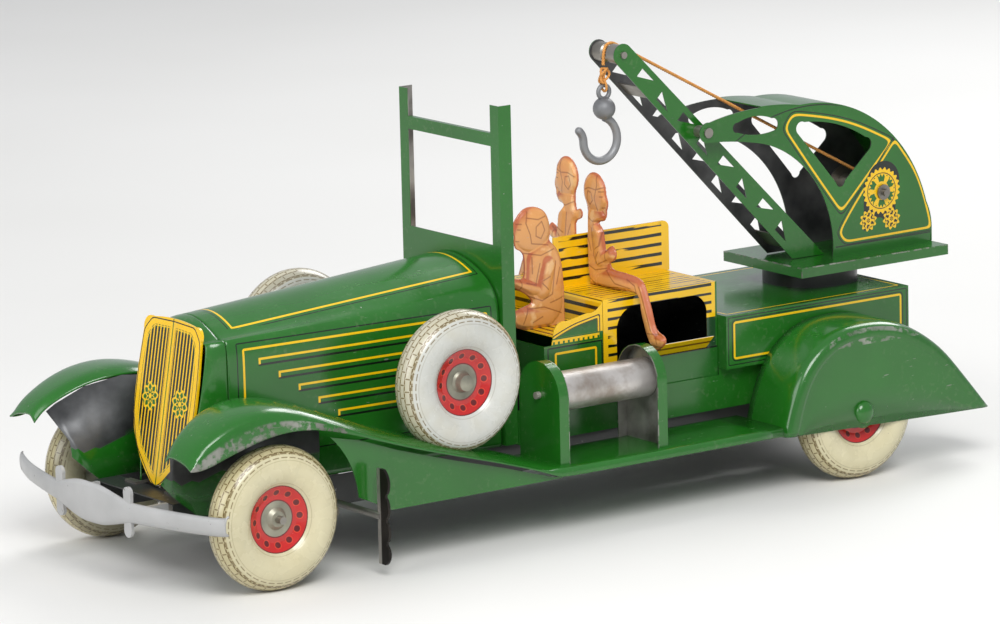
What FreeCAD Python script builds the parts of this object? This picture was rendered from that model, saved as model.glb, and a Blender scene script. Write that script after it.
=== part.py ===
import FreeCAD, Part
import math
import os
import re
from FreeCAD import Placement, Rotation, Vector

# Tinplate crane truck.  Millimetres.  +X forward, +Y left, +Z up.
# Stations are measured forward from the rear axle, and heights from the ground.  Every sub-part is
# drawn in that frame and then moved so that the origin is at the bottom centre of the whole truck.

SIZES = [
    # overall
    ("bumper_station", 353.0, "front of the bumper"),
    ("tail_length", 72.0, "rear wing tip behind the rear axle"),
    ("tin", 0.5, "thickness of the tinplate"),
    ("gap", 0.3, "space between neighbouring pieces that don't touch"),
    ("running", 0.05, "radial clearance of a shaft in its hole"),
    # wheels and axles
    ("wheelbase", 303.0, "rear axle to front axle"),
    ("wheel_radius", 30.0, "outside radius of a tyre"),
    ("tyre_half_width", 7.3, "half width of a tyre"),
    ("tyre_bore", 14.0, "inner radius of the tyre pressing"),
    ("hub_radius", 3.2, "radius of the hub barrel"),
    ("front_track", 62.5, "front wheel centre plane from the middle"),
    ("rear_track", 61.2, "rear wheel centre plane from the middle"),
    ("axle_radius", 1.6, "radius of an axle"),
    ("axle_end", 7.6, "axle end beyond the wheel centre plane"),
    # chassis
    ("rail_half", 30.0, "outside of the chassis rails from the middle"),
    ("rail_bottom", 21.0, "height of the rail's lower edge"),
    ("rail_top", 34.0, "height of the chassis top"),
    ("rail_back", 52.0, "chassis behind the rear axle"),
    ("rail_front", 330.0, "station of the chassis front"),
    ("motor_bay_back", 232.0, "station of the back of the motor opening"),
    ("motor_bay_front", 318.0, "station of the front of the motor opening"),
    # tub, running boards and wings
    ("tub_half", 36.0, "outside of the tub wall from the middle"),
    ("tub_wall", 15.0, "height of the tub wall above the chassis"),
    ("dash_station", 167.3, "front face of the dash"),
    ("wing_outer", 69.5, "outer edge of the wings from the middle"),
    ("board_height", 30.0, "height of the running board"),
    ("board_lip", 4.0, "depth of the running board's edge"),
    ("board_front", 162.0, "station where the running board starts to climb"),
    ("skirt_plane", 66.0, "side skirt from the middle"),
    ("skirt_bottom", 25.0, "height of the skirt's lower edge"),
    ("arch_radius", 40.0, "front wheel arch"),
    ("rear_wing_front", 44.0, "station of the rear wing's front foot"),
    ("rear_wing_top", 69.0, "height of the rear wing's crown"),
    ("rear_wing_foot", 25.0, "height of the rear wing's lower edge"),
    ("axle_cap", 5.5, "radius of the axle cap on the rear wing"),
    # bonnet, grille and windscreen
    ("bonnet_crown_back", 113.8, "bonnet crown at the dash"),
    ("bonnet_crown_front", 103.5, "bonnet crown at the grille"),
    ("bonnet_half_back", 34.0, "bonnet half width at the dash"),
    ("bonnet_half_front", 27.5, "bonnet half width behind the nose"),
    ("nose_station", 300.0, "station where the nose starts"),
    ("grille_foot_station", 318.2, "station of the grille's lower tip"),
    ("grille_foot", 34.6, "height of the grille's lower tip"),
    ("grille_length", 69.6, "length of the grille along its slope"),
    ("grille_half", 22.7, "half width of the grille"),
    ("grille_rake", 10.0, "backward slope of the grille, degrees"),
    ("grille_depth", 1.2, "thickness of the grille"),
    ("screen_half", 36.0, "outside of the windscreen posts from the middle"),
    ("screen_top", 179.5, "height of the windscreen posts"),
    ("screen_flange", 6.5, "depth of the post's side flange"),
    ("post_width", 6.0, "width of a post"),
    ("dash_top", 120.0, "height of the dash"),
    ("bar_low", 162.0, "lower edge of the crossbar"),
    ("bar_high", 167.5, "upper edge of the crossbar"),
    # bumper
    ("bumper_half", 78.5, "bumper half length"),
    ("bumper_sweep", 16.0, "how far the bumper ends sweep back"),
    ("bumper_centre_height", 33.0, "height of the bumper's middle line"),
    ("bumper_end_height", 8.0, "depth of the band at its ends"),
    ("bumper_mid_height", 17.0, "depth of the band at the middle"),
    ("rider_offset", 26.0, "over-rider from the middle"),
    # crane box and seats
    ("box_half", 41.0, "crane box half width"),
    ("box_front", 53.0, "station of the box front"),
    ("box_back", 48.5, "box behind the rear axle"),
    ("box_bottom", 52.5, "height of the box's lower edge"),
    ("box_top", 75.4, "height of the box top"),
    ("seat_half", 35.0, "bench front from the middle"),
    ("seat_length", 61.0, "length of the bench"),
    ("seat_top", 90.0, "height of the bench seat"),
    ("flap_low", 61.5, "height of the footboard's fold"),
    ("flap_rise", 6.0, "rise of the footboard"),
    ("back_height", 22.0, "height of the backrest"),
    ("driver_seat_length", 31.0, "length of the driver's seat tub"),
    ("driver_seat_top", 78.0, "height of the driver's seat"),
    ("figure", 1.4, "thickness of a tin figure"),
    ("steering_radius", 7.5, "radius of the steering wheel's rim"),
    # running-board rollers
    ("roller_y", 50.5, "roller axis from the middle"),
    ("roller_height", 58.0, "height of the roller axis"),
    ("roller_radius", 8.4, "radius of the roller"),
    ("bracket_radius", 14.3, "radius of a bracket's round top"),
    ("bracket_depth", 5.0, "depth of a bracket's rim"),
    ("bracket_front", 160.0, "station of the front bracket's face"),
    ("bracket_back", 103.5, "station of the back bracket's face"),
    ("pin_radius", 1.5, "radius of a small spindle"),
    ("spare_station", 208.0, "station of the spare wheels"),
    ("spare_height", 72.5, "height of the spare wheels' centre"),
    ("spare_track", 60.0, "spare wheel centre plane from the middle"),
    # clockwork motor
    ("key_station", 256.5, "station of the key arbor"),
    ("key_height", 25.0, "height of the key arbor"),
    ("key_inner", 70.4, "inner edge of the key's plate from the middle"),
    ("key_width", 7.8, "width of the key's plate"),
    ("key_half", 20.0, "half height of the key's plate"),
    ("tooth_module", 1.0, "tooth size: pitch diameter over teeth"),
    ("great_teeth", 36.0, "teeth of the great gear"),
    ("pinion_teeth", 12.0, "teeth of a pinion"),
    ("second_teeth", 42.0, "teeth of the second gear"),
    ("gear_width", 2.0, "thickness of a gear"),
    ("motor_half", 12.0, "outside of the motor plates from the middle"),
    # crane
    ("pivot_back", 26.0, "crane pivot behind the rear axle"),
    ("base_back", 41.0, "middle of the crane base behind the rear axle"),
    ("base_half_length", 41.5, "crane base half length"),
    ("base_half_width", 27.8, "crane base half width"),
    ("base_top", 87.5, "height of the crane base"),
    ("base_rim", 4.5, "depth of the base's rim"),
    ("turntable_radius", 21.0, "radius of the turntable disc"),
    ("pivot_radius", 2.5, "radius of the pivot rivet"),
    ("cab_half", 16.0, "outside of the cab sides from the middle"),
    ("cab_foot_back", 82.0, "cab foot behind the rear axle"),
    ("cab_foot_front", 26.6, "front of the cab foot behind the rear axle"),
    ("nose_x", 41.8, "station of the nose pin"),
    ("nose_z", 150.9, "height of the nose pin"),
    ("nose_radius", 4.4, "radius of the cab nose"),
    ("roof_front", 12.5, "station of the roof's front edge"),
    ("boom_half", 9.0, "outside of the boom plates from the middle"),
    ("boom_foot_x", -18.4, "station of the boom foot"),
    ("tip_x", 81.5, "station of the boom-tip roller"),
    ("tip_z", 188.5, "height of the boom-tip roller"),
    ("boom_foot_width", 12.6, "width of a boom plate at the foot"),
    ("boom_tip_width", 9.8, "width of a boom plate at the tip"),
    ("tip_roller_radius", 3.2, "radius of the boom-tip roller"),
    ("drum_back", 55.0, "drum shaft behind the rear axle"),
    ("drum_height", 113.0, "height of the drum shaft"),
    ("drum_radius", 5.0, "radius of the cable drum"),
    ("drum_half", 10.0, "half length of the cable drum"),
    ("ratchet_radius", 14.0, "radius of the ratchet wheel"),
    ("crank_throw", 18.0, "length of the crank arm"),
    ("cord_radius", 0.8, "radius of the cord"),
    ("eye_height", 174.9, "height of the top bar of the hook's eye"),
    ("eye_radius", 2.9, "radius of the hook's eye"),
    ("eye_wire", 0.95, "wire radius of the hook's eye"),
    ("ball_radius", 4.9, "radius of the hook's ball"),
    ("hook_radius", 9.0, "radius of the hook's bend"),
    ("hook_wire", 1.8, "wire radius of the hook"),
]

doc = FreeCAD.newDocument("crane_truck")
sheet = doc.addObject("Spreadsheet::Sheet", "Sizes")
for row, (alias, number, note) in enumerate(SIZES, start=1):
    sheet.set(f"A{row}", alias)
    sheet.set(f"B{row}", str(number))
    sheet.set(f"C{row}", note)
    sheet.setAlias(f"B{row}", alias)
doc.recompute()

NAMES = {alias for alias, number, note in SIZES}
CENTRE = "(bumper_station - cab_foot_back - 2 * tin) / 2"
nodes = []


# ---------------------------------------------------------------- helpers

def bound(text):
    """Sheet expression for a text that uses the aliases as plain words."""
    return re.sub(r"[a-z][a-z0-9_]*", lambda word: "Sizes." + word[0] if word[0] in NAMES else word[0], text)


def keep(node, x="0", y="0", z="0", turn=None):
    """Place a sub-part: x, y and z are expressions in the truck's frame, turn is a fixed rotation."""
    if turn:
        node.Placement = Placement(Vector(0, 0, 0), turn)
    for axis, text in (("x", f"{x} - {CENTRE}"), ("y", y), ("z", z)):
        node.setExpression("Placement.Base." + axis, bound(text))
    nodes.append(node)
    return node


def keep_shape(label, shape):
    """A sub-part whose shape is worked out here from the sheet's values."""
    node = doc.addObject("Part::Feature", label)
    node.Label = label
    node.Shape = Part.makeCompound(shape.Solids)
    return keep(node)


def new_body(label):
    body = doc.addObject("PartDesign::Body", label)
    body.Label = label
    return body


def sketch_on(body, role, edges, offset="0"):
    """Sketch on one of the body's own origin planes, moved along the plane's normal by an expression."""
    sketch = body.newObject("Sketcher::SketchObject", body.Name + "_sketch")
    plane = next(feature for feature in body.Origin.OriginFeatures if feature.Role == role)
    sketch.AttachmentSupport = [(plane, "")]
    sketch.MapMode = "FlatFace"
    sketch.setExpression("AttachmentOffset.Base.z", bound(offset))
    sketch.addGeometry(edges)
    return sketch


def extrude(body, kind, sketch, length):
    feature = body.newObject("PartDesign::" + kind, body.Name + "_" + kind.lower())
    feature.Profile = sketch
    feature.setExpression("Length", bound(length))
    sketch.Visibility = False
    return feature


def pad(body, axis, edges, low, high):
    """Add material between two planes across an axis."""
    role, offset = {"x": ("YZ_Plane", low), "y": ("XZ_Plane", f"-({high})"), "z": ("XY_Plane", low)}[axis]
    return extrude(body, "Pad", sketch_on(body, role, edges, offset), f"({high}) - ({low})")


def cut(body, axis, edges, low, high):
    """Remove material between two planes across an axis, and check that something went."""
    role, offset = {"x": ("YZ_Plane", high), "y": ("XZ_Plane", f"-({low})"), "z": ("XY_Plane", high)}[axis]
    doc.recompute()
    before = body.Shape.Volume
    feature = extrude(body, "Pocket", sketch_on(body, role, edges, offset), f"({high}) - ({low})")
    doc.recompute()
    if body.Shape.Volume > before - 0.01:
        raise RuntimeError(feature.Name + " removes nothing")
    return feature


def spin(body, edges):
    """Revolve a profile, drawn as radius and width, about the body's Y axis."""
    sketch = sketch_on(body, "XY_Plane", edges)
    feature = body.newObject("PartDesign::Revolution", body.Name + "_revolution")
    feature.Profile = sketch
    feature.ReferenceAxis = (sketch, ["V_Axis"])
    feature.Angle = 360
    return feature


def outline(start, *steps):
    """Closed outline.  A step is a corner (u, v), or a pair (point on the arc, corner) for an arc."""
    edges, here = [], Vector(*start, 0)
    for step in steps + (start,):
        if isinstance(step[0], tuple):
            through, there = Vector(*step[0], 0), Vector(*step[1], 0)
            edges.append(Part.Arc(here, through, there))
        else:
            there = Vector(*step, 0)
            if (there - here).Length > 1e-6:
                edges.append(Part.LineSegment(here, there))
        here = there
    return edges


def box(u0, v0, u1, v1):
    return outline((u0, v0), (u1, v0), (u1, v1), (u0, v1))


def ring(u, v, radius):
    return [Part.Circle(Vector(u, v, 0), Vector(0, 0, 1), radius)]


def sides(side, low, high):
    """The pair of expressions low to high, mirrored to the right-hand side when side is -1."""
    return (low, high) if side > 0 else (f"-({high})", f"-({low})")


def loft_shell(label, outer, inner):
    """Thin shell: the loft through the outer sections without the loft through the inner ones."""
    solids = []
    for sections in (outer, inner):
        wires = []
        for section in sections:
            wires.append(Part.makePolygon([Vector(*point) for point in section + section[:1]]))
        solids.append(Part.makeLoft(wires, True, True))
    return keep_shape(label, solids[0].cut(solids[1]))


SIDES = (("left", 1), ("right", -1))
s = sheet


# ---------------------------------------------------------------- wheels

def tyre(label, x, y, z, side):
    """Hollow tin tyre, open towards the hub."""
    rim, half, bore, wall = s.wheel_radius, s.tyre_half_width, s.tyre_bore, s.tin
    body = new_body(label)
    spin(body, outline(
        (bore, 0.62 * half),
        ((bore + 0.30 * (rim - bore), half), (rim - 3.4, 0.86 * half)),
        ((rim, 0), (rim - 3.4, -0.86 * half)),
        ((bore + 0.30 * (rim - bore), -half), (bore, -0.62 * half)),
        (bore, -0.62 * half + wall),
        ((bore + 0.32 * (rim - bore), wall - half), (rim - 3.6, wall - 0.86 * half)),
        ((rim - wall, 0), (rim - 3.6, 0.86 * half - wall)),
        ((bore + 0.32 * (rim - bore), half - wall), (bore, 0.62 * half - wall))))
    return keep(body, x, y, z, None if side > 0 else Rotation(Vector(0, 0, 1), 180))


def wheel_disc(label, x, y, z, side, bore):
    """Red hub disc with its barrel and back plate, a press fit on the axle."""
    edge, half, wall = s.tyre_bore, 0.62 * s.tyre_half_width, s.tin
    body = new_body(label)
    spin(body, outline(
        (bore, -half - 1), (s.hub_radius, -half - 1), (s.hub_radius, -half), (edge, -half),
        (edge, wall - half), (s.hub_radius, wall - half), (s.hub_radius, half - 2 - wall),
        (edge - 4, half - 2 - wall), (edge, half - wall), (edge, half), (edge - 4, half - 2),
        (s.hub_radius + 1.5, half - 2), (s.hub_radius, half - 0.5), (bore, half - 0.5)))
    return keep(body, x, y, z, None if side > 0 else Rotation(Vector(0, 0, 1), 180))


def spare_disc(label, x, y, z, side):
    """Spare wheel's disc on its stud, with a conical nut.  The stud reaches in to the bonnet side."""
    disc = wheel_disc(label + "_plate", x, y, z, side, s.pin_radius)
    nodes.remove(disc)
    disc.setExpression("Placement.Base.x", None)
    disc.setExpression("Placement.Base.y", None)
    disc.setExpression("Placement.Base.z", None)
    disc.Placement = Placement()
    root, face, pin = s.bonnet_half_front + 4.6 - s.spare_track, 0.62 * s.tyre_half_width - 0.5, s.pin_radius
    nut = new_body(label + "_nut")
    spin(nut, outline((0, root), (pin, root), (pin, face), (4.2, face), (3.4, face + 2.4), (0, face + 3.1)))
    group = doc.addObject("Part::Compound", label)
    group.Label = label
    group.Links = [disc, nut]
    return keep(group, x, y, z, None if side > 0 else Rotation(Vector(0, 0, 1), 180))


def axle(label, x, track):
    """Straight steel axle that carries two wheels."""
    rod = doc.addObject("Part::Cylinder", label)
    rod.Label = label
    rod.setExpression("Radius", bound("axle_radius"))
    rod.setExpression("Height", bound(f"2 * ({track} + axle_end)"))
    return keep(rod, x, f"{track} + axle_end", "wheel_radius", Rotation(Vector(1, 0, 0), 90))


axle("rear_axle", "0", "rear_track")
for end, station, track in (("front", "wheelbase", "front_track"), ("rear", "0", "rear_track")):
    for name, side in SIDES:
        where = (station, track if side > 0 else "-" + track, "wheel_radius", side)
        tyre(f"{end}_tyre_{name}", *where)
        wheel_disc(f"{end}_wheel_disc_{name}", *where, s.axle_radius)
for name, side in SIDES:
    where = ("spare_station", "spare_track" if side > 0 else "-spare_track", "spare_height", side)
    tyre("spare_tyre_" + name, *where)
    spare_disc("spare_wheel_disc_" + name, *where)


# ---------------------------------------------------------------- chassis and tub

def chassis():
    """Dark inverted channel with a rounded front, an opening for the motor and the axle holes."""
    half, low, top, wall = s.rail_half, s.rail_bottom, s.rail_top, s.tin
    body = new_body("chassis")
    profile = outline((-half, low), (wall - half, low), (wall - half, top - wall), (half - wall, top - wall),
                      (half - wall, low), (half, low), (half, top), (-half, top))
    pad(body, "x", profile, "-rail_back", "rail_front")
    cut(body, "z", box(s.motor_bay_back, wall - half, s.motor_bay_front, half - wall), "rail_top - 2 * tin",
        "rail_top + tin")
    for station in (0, s.wheelbase):
        cut(body, "y", ring(station, s.wheel_radius, s.axle_radius + s.running), "-rail_half - tin",
            "rail_half + tin")
    cut(body, "y", ring(s.key_station, s.key_height, s.pin_radius + s.running), "rail_half - 2 * tin",
        "rail_half + tin")
    front = s.rail_front
    nose_round = ((front - 4, low + 3), (front - 12, low - 1))
    cut(body, "y", outline((front + 1, low - 1), (front + 1, low + 8), nose_round),
        "-rail_half - tin", "rail_half + tin")
    return keep(body)


def tub():
    """Open tub that carries the seats, with ledges at the back for the crane box."""
    half, low, wall = s.tub_half, s.rail_top, s.tin
    top = low + s.tub_wall
    body = new_body("body_tub")
    inner = half - wall
    pad(body, "x", outline((-half, low), (half, low), (half, top), (inner, top), (inner, low + wall),
                           (-inner, low + wall), (-inner, top), (-half, top)),
        "box_front + gap", "dash_station - screen_flange - gap")
    ledge, high = s.box_half, s.box_bottom
    right = [(half, low), (half, high - wall), (ledge, high - wall), (ledge, high), (inner, high),
             (inner, low + wall)]
    left = [(-y, z) for y, z in reversed(right)]
    pad(body, "x", outline(*right, *left), "-box_back", "box_front + gap")
    return keep(body)


def crane_box():
    """Box over the rear axle, open at the bottom."""
    body = new_body("crane_box")
    front, back, half, wall = s.box_front, s.box_back, s.box_half, s.tin
    inner = half - wall
    pad(body, "z", box(-back, -half, front, half), "box_bottom", "box_top")
    cut(body, "z", box(wall - back, -inner, front - wall, inner), "box_bottom - tin", "box_top - tin")
    cut(body, "z", ring(-s.pivot_back, 0, s.pivot_radius), "box_top - 2 * tin", "box_top + tin")
    return keep(body)


chassis()
tub()
crane_box()


# ---------------------------------------------------------------- bonnet, grille and windscreen

def bonnet():
    """Ruled shell from the dash to the nose, open below, with a shoulder along each side."""
    lean = math.tan(math.radians(s.grille_rake))

    def section(station, half, crown, shoulder, low, rake, wall):
        half, crown = half - wall, crown - wall
        right = [(0, crown), (0.44 * half, crown - 3.0), (0.74 * half, crown - 6.8),
                 (0.93 * half, shoulder + 3 - wall), (half, shoulder - 4), (half, low)]
        ring_points = right + [(-y, z) for y, z in reversed(right[1:])]
        return [(station + rake * (s.bonnet_crown_front - z) * lean, y, z) for y, z in ring_points]

    def sections(wall, extra, low):
        dash = s.dash_station + s.gap - extra
        back = section(dash, s.bonnet_half_back, s.bonnet_crown_back, 98.5, low, 0, wall)
        nose = section(s.nose_station, s.bonnet_half_front, s.bonnet_crown_front + 1, 96.5, low, 0, wall)
        face = section(s.grille_foot_station - (s.bonnet_crown_front - s.grille_foot) * lean - 0.3 + extra,
                       s.grille_half + 0.8, s.bonnet_crown_front, 95.5, low, 1, wall)
        return [back, nose, face]

    low = s.rail_top + s.gap
    return loft_shell("bonnet", sections(0, 0, low), sections(s.tin, 0.4, low - 2))


def grille():
    """Shield-shaped radiator plate that leans back."""
    length, half = s.grille_length, s.grille_half
    body = new_body("radiator_grille")
    shares = [(0.16, 0.015), (0.37, 0.068), (0.57, 0.13), (0.75, 0.205), (0.90, 0.30), (0.975, 0.40),
              (1.0, 0.52), (0.995, 0.66), (0.94, 0.90)]
    right = [(u * half, v * length) for u, v in shares]
    left = [(-u, v) for u, v in reversed(right)]
    corner, shoulder = (0.90 * half, 0.965 * length), (0.70 * half, 0.982 * length)
    pad(body, "x", outline((0, 0), *right, (corner, shoulder), ((0, length), (-shoulder[0], shoulder[1])),
                           ((-corner[0], corner[1]), left[0]), *left[1:]), "0", "grille_depth")
    keep(body, "grille_foot_station", "0", "grille_foot", Rotation(Vector(0, 1, 0), -s.grille_rake))


def windscreen():
    """Dash panel and the two posts in one pressing, with folded side flanges, and the crossbar."""
    half, front, depth, wall = s.screen_half, s.dash_station, s.screen_flange, s.tin
    body = new_body("windscreen_frame")
    pad(body, "z", outline((front, -half), (front, half), (front - depth, half), (front - depth, half - wall),
                           (front - wall, half - wall), (front - wall, wall - half),
                           (front - depth, wall - half), (front - depth, -half)),
        "rail_top + tin + gap", "screen_top")
    inner = half - s.post_width
    behind, ahead = "dash_station - 2 * tin", "dash_station + tin"
    cut(body, "x", box(-inner, s.dash_top, inner, s.screen_top + 1), behind, ahead)
    cut(body, "x", ring(16, 86, s.pin_radius + s.running), behind, ahead)
    keep(body)
    bar = new_body("windscreen_crossbar")
    pad(bar, "y", box(front - 2.2, s.bar_low, front, s.bar_high), "-(screen_half - post_width)",
        "screen_half - post_width")
    keep(bar)


bonnet()
grille()
windscreen()


# ---------------------------------------------------------------- wings, skirts and running boards

def front_wing(name, side):
    """Wing with a drooping outer edge that runs back into the running board."""
    inner, crown_out, edge = s.tub_half + s.gap, s.wing_outer - 10, s.wing_outer
    board, lip = s.board_height, s.board_lip
    lift = s.wheel_radius - 30.0
    stations = [(346.0, 60.0, 56.5), (338.0, 68.5, 56.0), (326.0, 75.5, 61.0), (310.0, 78.5, 65.5),
                (295.0, 76.5, 66.8), (280.0, 71.0, 64.5), (262.0, 63.5, 58.5), (243.0, 56.0, 51.5),
                (218.0, 48.5, 43.8), (193.0, 40.5, 36.8)]
    stations = [(x, crown + lift, rim + lift) for x, crown, rim in stations]
    stations += [(s.board_front + 8, board + 3, board - lip + 3), (s.board_front, board, board - lip),
                 (s.rear_wing_front + s.gap, board, board - lip)]

    def section(x, crown, rim, flat):
        shoulder = crown - (0.0 if flat else 2.0)
        start = inner + 13.5 * max((x - 300) / 46, 0) ** 1.6
        ridge = max(inner + 7.7, start + 3)
        top = [(start, crown - (0.0 if flat else 3.0)), (ridge, crown), (crown_out, crown),
               (edge - (0.6 if flat else 3.0), shoulder), (edge, rim)]
        under = [(y - (s.tin if rank == 0 else 0), z - (0 if rank == 0 else s.tin))
                 for rank, (y, z) in enumerate(reversed(top))]
        return [(x, side * y, z) for y, z in top + under]

    wires = []
    for rank, (x, crown, rim) in enumerate(stations):
        points = [Vector(*point) for point in section(x, crown, rim, rank >= len(stations) - 2)]
        wires.append(Part.makePolygon(points + points[:1]))
    shape = Part.makeLoft(wires, True, True)
    well = Part.makeCylinder(s.wheel_radius + s.gap, 2 * s.tyre_half_width + 2 * s.gap,
                             Vector(s.spare_station, side * s.spare_track - s.tyre_half_width - s.gap,
                                    s.spare_height), Vector(0, 1, 0))
    return keep_shape("front_wing_" + name, shape.cut(well))


def side_skirt(name, side):
    """Flat skirt below the wing, cut round for the front wheel."""
    base, axle_x, reach = s.skirt_bottom, s.wheelbase, s.arch_radius
    arch = [(axle_x - reach * math.cos(a), s.wheel_radius + reach * math.sin(a))
            for a in (math.radians(4), math.radians(26), math.radians(48))]
    body = new_body("side_skirt_" + name)
    board, lip = s.board_front, s.board_height - s.board_lip
    pad(body, "y", outline((board - 2, base), (s.wheelbase - 56, base), arch[0], (arch[1], arch[2]),
                           (262, 56.5), (243, 49.5), (218, 41.8), (193, 34.8),
                           (board + 2, lip), (board - 2, base + 0.9)),
        *sides(side, "skirt_plane - tin", "skirt_plane"))
    return keep(body)


def rear_wing(name, side):
    """Arched wing with a flat outer skirt that hides the top of the wheel, and a cap over the axle end."""
    front, tail, top, foot, wall = s.rear_wing_front, -s.tail_length, s.rear_wing_top, s.rear_wing_foot, s.tin
    peak = -8.0
    rise = top - foot
    body = new_body("rear_wing_" + name)
    low, high = sides(side, "box_half + gap", "wing_outer")
    pad(body, "y", outline((front, foot), ((front - 13, foot + 0.76 * rise), (peak, top)),
                           ((-38, foot + 0.73 * rise), (tail, foot - 3)), (tail + 16, foot - 1.5)), low, high)
    hollow = outline((front - wall, foot - 6), (front - wall, foot),
                     ((front - 13 - 0.8 * wall, foot + 0.76 * rise - 0.6 * wall), (peak, top - wall)),
                     ((-38 + 0.5 * wall, foot + 0.73 * rise - 0.8 * wall), (tail + 2 * wall, foot - 3)),
                     (tail + 2 * wall, foot - 6))
    cut(body, "y", hollow, *sides(side, "box_half + gap - tin", "wing_outer - tin"))
    pad(body, "y", ring(0, s.wheel_radius, s.axle_cap), *sides(side, "wing_outer - tin", "wing_outer + 2"))
    cut(body, "y", ring(0, s.wheel_radius, s.axle_cap - 1),
        *sides(side, "wing_outer - 2 * tin", "wing_outer + 2 - tin"))
    return keep(body)


for name, side in SIDES:
    front_wing(name, side)
    side_skirt(name, side)
    rear_wing(name, side)


# ---------------------------------------------------------------- bumper

def bumper():
    """Curved band that is deeper at the middle, held by two over-riders on arms."""
    half, back, front, mid = s.bumper_half, s.bumper_sweep, s.bumper_station, s.bumper_centre_height
    thick, end, hump = 1.2, s.bumper_end_height / 2, s.bumper_mid_height / 2
    band = new_body("bumper_plan")
    pad(band, "z", outline((front - back, -half), ((front, 0), (front - back, half)),
                           (front - back - thick, half - 0.4),
                           ((front - thick, 0), (front - back - thick, 0.4 - half))), "0", "60")
    face = new_body("bumper_face")
    rider = s.rider_offset
    pad(face, "x", outline((-half - 1, mid - end), (-rider, mid - end), (-rider + 8, mid - end - 0.5),
                           ((0, mid - hump), (rider - 8, mid - end - 0.5)), (rider, mid - end),
                           (half + 1, mid - end), (half + 1, mid + end), (rider, mid + end),
                           (rider - 8, mid + end + 0.5), ((0, mid + hump), (8 - rider, mid + end + 0.5)),
                           (-rider, mid + end), (-half - 1, mid + end)), "bumper_station - 60",
        "bumper_station + 10")
    both = doc.addObject("Part::Common", "bumper")
    both.Label = "bumper"
    both.Base = band
    both.Tool = face
    return keep(both)


def over_riders():
    """Two lozenge-shaped over-riders behind the band, each on an arm from the chassis."""
    front, mid, back = s.bumper_station - 3.5, s.bumper_centre_height, s.rail_front + s.gap
    solids = []
    for centre_y in (-s.rider_offset, s.rider_offset):
        edges = outline((centre_y - 2.6, mid - 7), ((centre_y, mid - 10.5), (centre_y + 2.6, mid - 7)),
                        (centre_y + 2.6, mid + 7), ((centre_y, mid + 10.5), (centre_y - 2.6, mid + 7)))
        face = Part.Face(Part.Wire([edge.toShape() for edge in edges]))
        face.rotate(Vector(0, 0, 0), Vector(1, 1, 1), 120)
        face.translate(Vector(front - 1.5, 0, 0))
        head = face.extrude(Vector(1.5, 0, 0))
        arm = Part.makeBox(front - 1.5 - back, 2, 4, Vector(back, centre_y - 1, mid - 3))
        solids.append(head.fuse(arm))
    return keep_shape("over_riders", Part.makeCompound(solids))


bumper()
over_riders()


# ---------------------------------------------------------------- seats and figures

def bench(name, side):
    """Bench box whose front has an arched opening; the cut-out is folded out as a footboard."""
    back, length, half, top, wall = s.box_front + s.gap, s.seat_length, s.seat_half, s.seat_top, s.tin
    front, foot = back + length, s.rail_top + s.tin
    low, high = sides(side, "tin", "seat_half")
    edge_low, edge_high = sides(side, "seat_half - 2 * tin", "seat_half + tin")
    body = new_body("bench_" + name)
    pad(body, "z", box(back, side * wall, front, side * half), "rail_top + tin", "seat_top")
    cut(body, "z", box(back + wall, side * 2 * wall, front - wall, side * (half - wall)), "rail_top",
        "seat_top - tin")
    arch_low, arch_top, left, right = s.flap_low, top - 4.5, back + 5.5, front - 7.0
    cut(body, "y", outline((left, arch_low), (right, arch_low), (right, arch_top - 10),
                           ((right - 3, arch_top - 3), (right - 10, arch_top)), (left + 8, arch_top),
                           ((left + 2.4, arch_top - 2.4), (left, arch_top - 8))), edge_low, edge_high)
    y, z, rise = side * half, s.flap_low, s.flap_rise
    bevel = 0.7 * wall
    pad(body, "x", outline((y - side * wall, z), (y, z), (y + side * rise, z + rise),
                           (y + side * (rise - bevel), z + rise + bevel), (y - side * wall, z + wall)),
        "box_front + gap + 6.5", "box_front + gap + seat_length - 11.5")
    return keep(body)


def backrest():
    """Slatted plate shared by the two benches."""
    body = new_body("bench_backrest")
    back, front, low = s.box_front + s.gap, s.box_front + s.gap + s.seat_length, s.seat_top
    high = low + s.back_height
    pad(body, "y", outline((back - 1, low), (front, low), (front, high), (back + 2, high),
                           ((back - 0.1, high - 0.9), (back - 1, high - 3))), "-tin", "tin")
    return keep(body)


def driver_seat():
    """Driver's tub: slatted seat across it, scrolled side panels and a panelled front corner below."""
    wall, half = s.tin, s.seat_half
    back = s.box_front + 2 * s.gap + s.seat_length
    front, seat, top, foot = back + s.driver_seat_length, s.driver_seat_top, s.seat_top, s.rail_top + s.tin
    body = new_body("driver_seat")
    pad(body, "y", outline((back, foot), (front, foot), (front, seat - 4), (front - 4, seat - 4),
                           (front - 5, seat), ((front - 7, seat + 4.5), (front - 12, seat + 5.5)),
                           (back + 8, seat + 7.5), ((back + 2, seat + 9), (back, top - wall))),
        "-seat_half", "seat_half")
    cut(body, "y", box(back + wall, seat, front + 1, top + 1), "tin - seat_half", "seat_half - tin")
    cut(body, "z", box(back + wall, wall - half, front - wall, half - wall), "rail_top",
        "driver_seat_top - tin")
    return keep(body)


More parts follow.
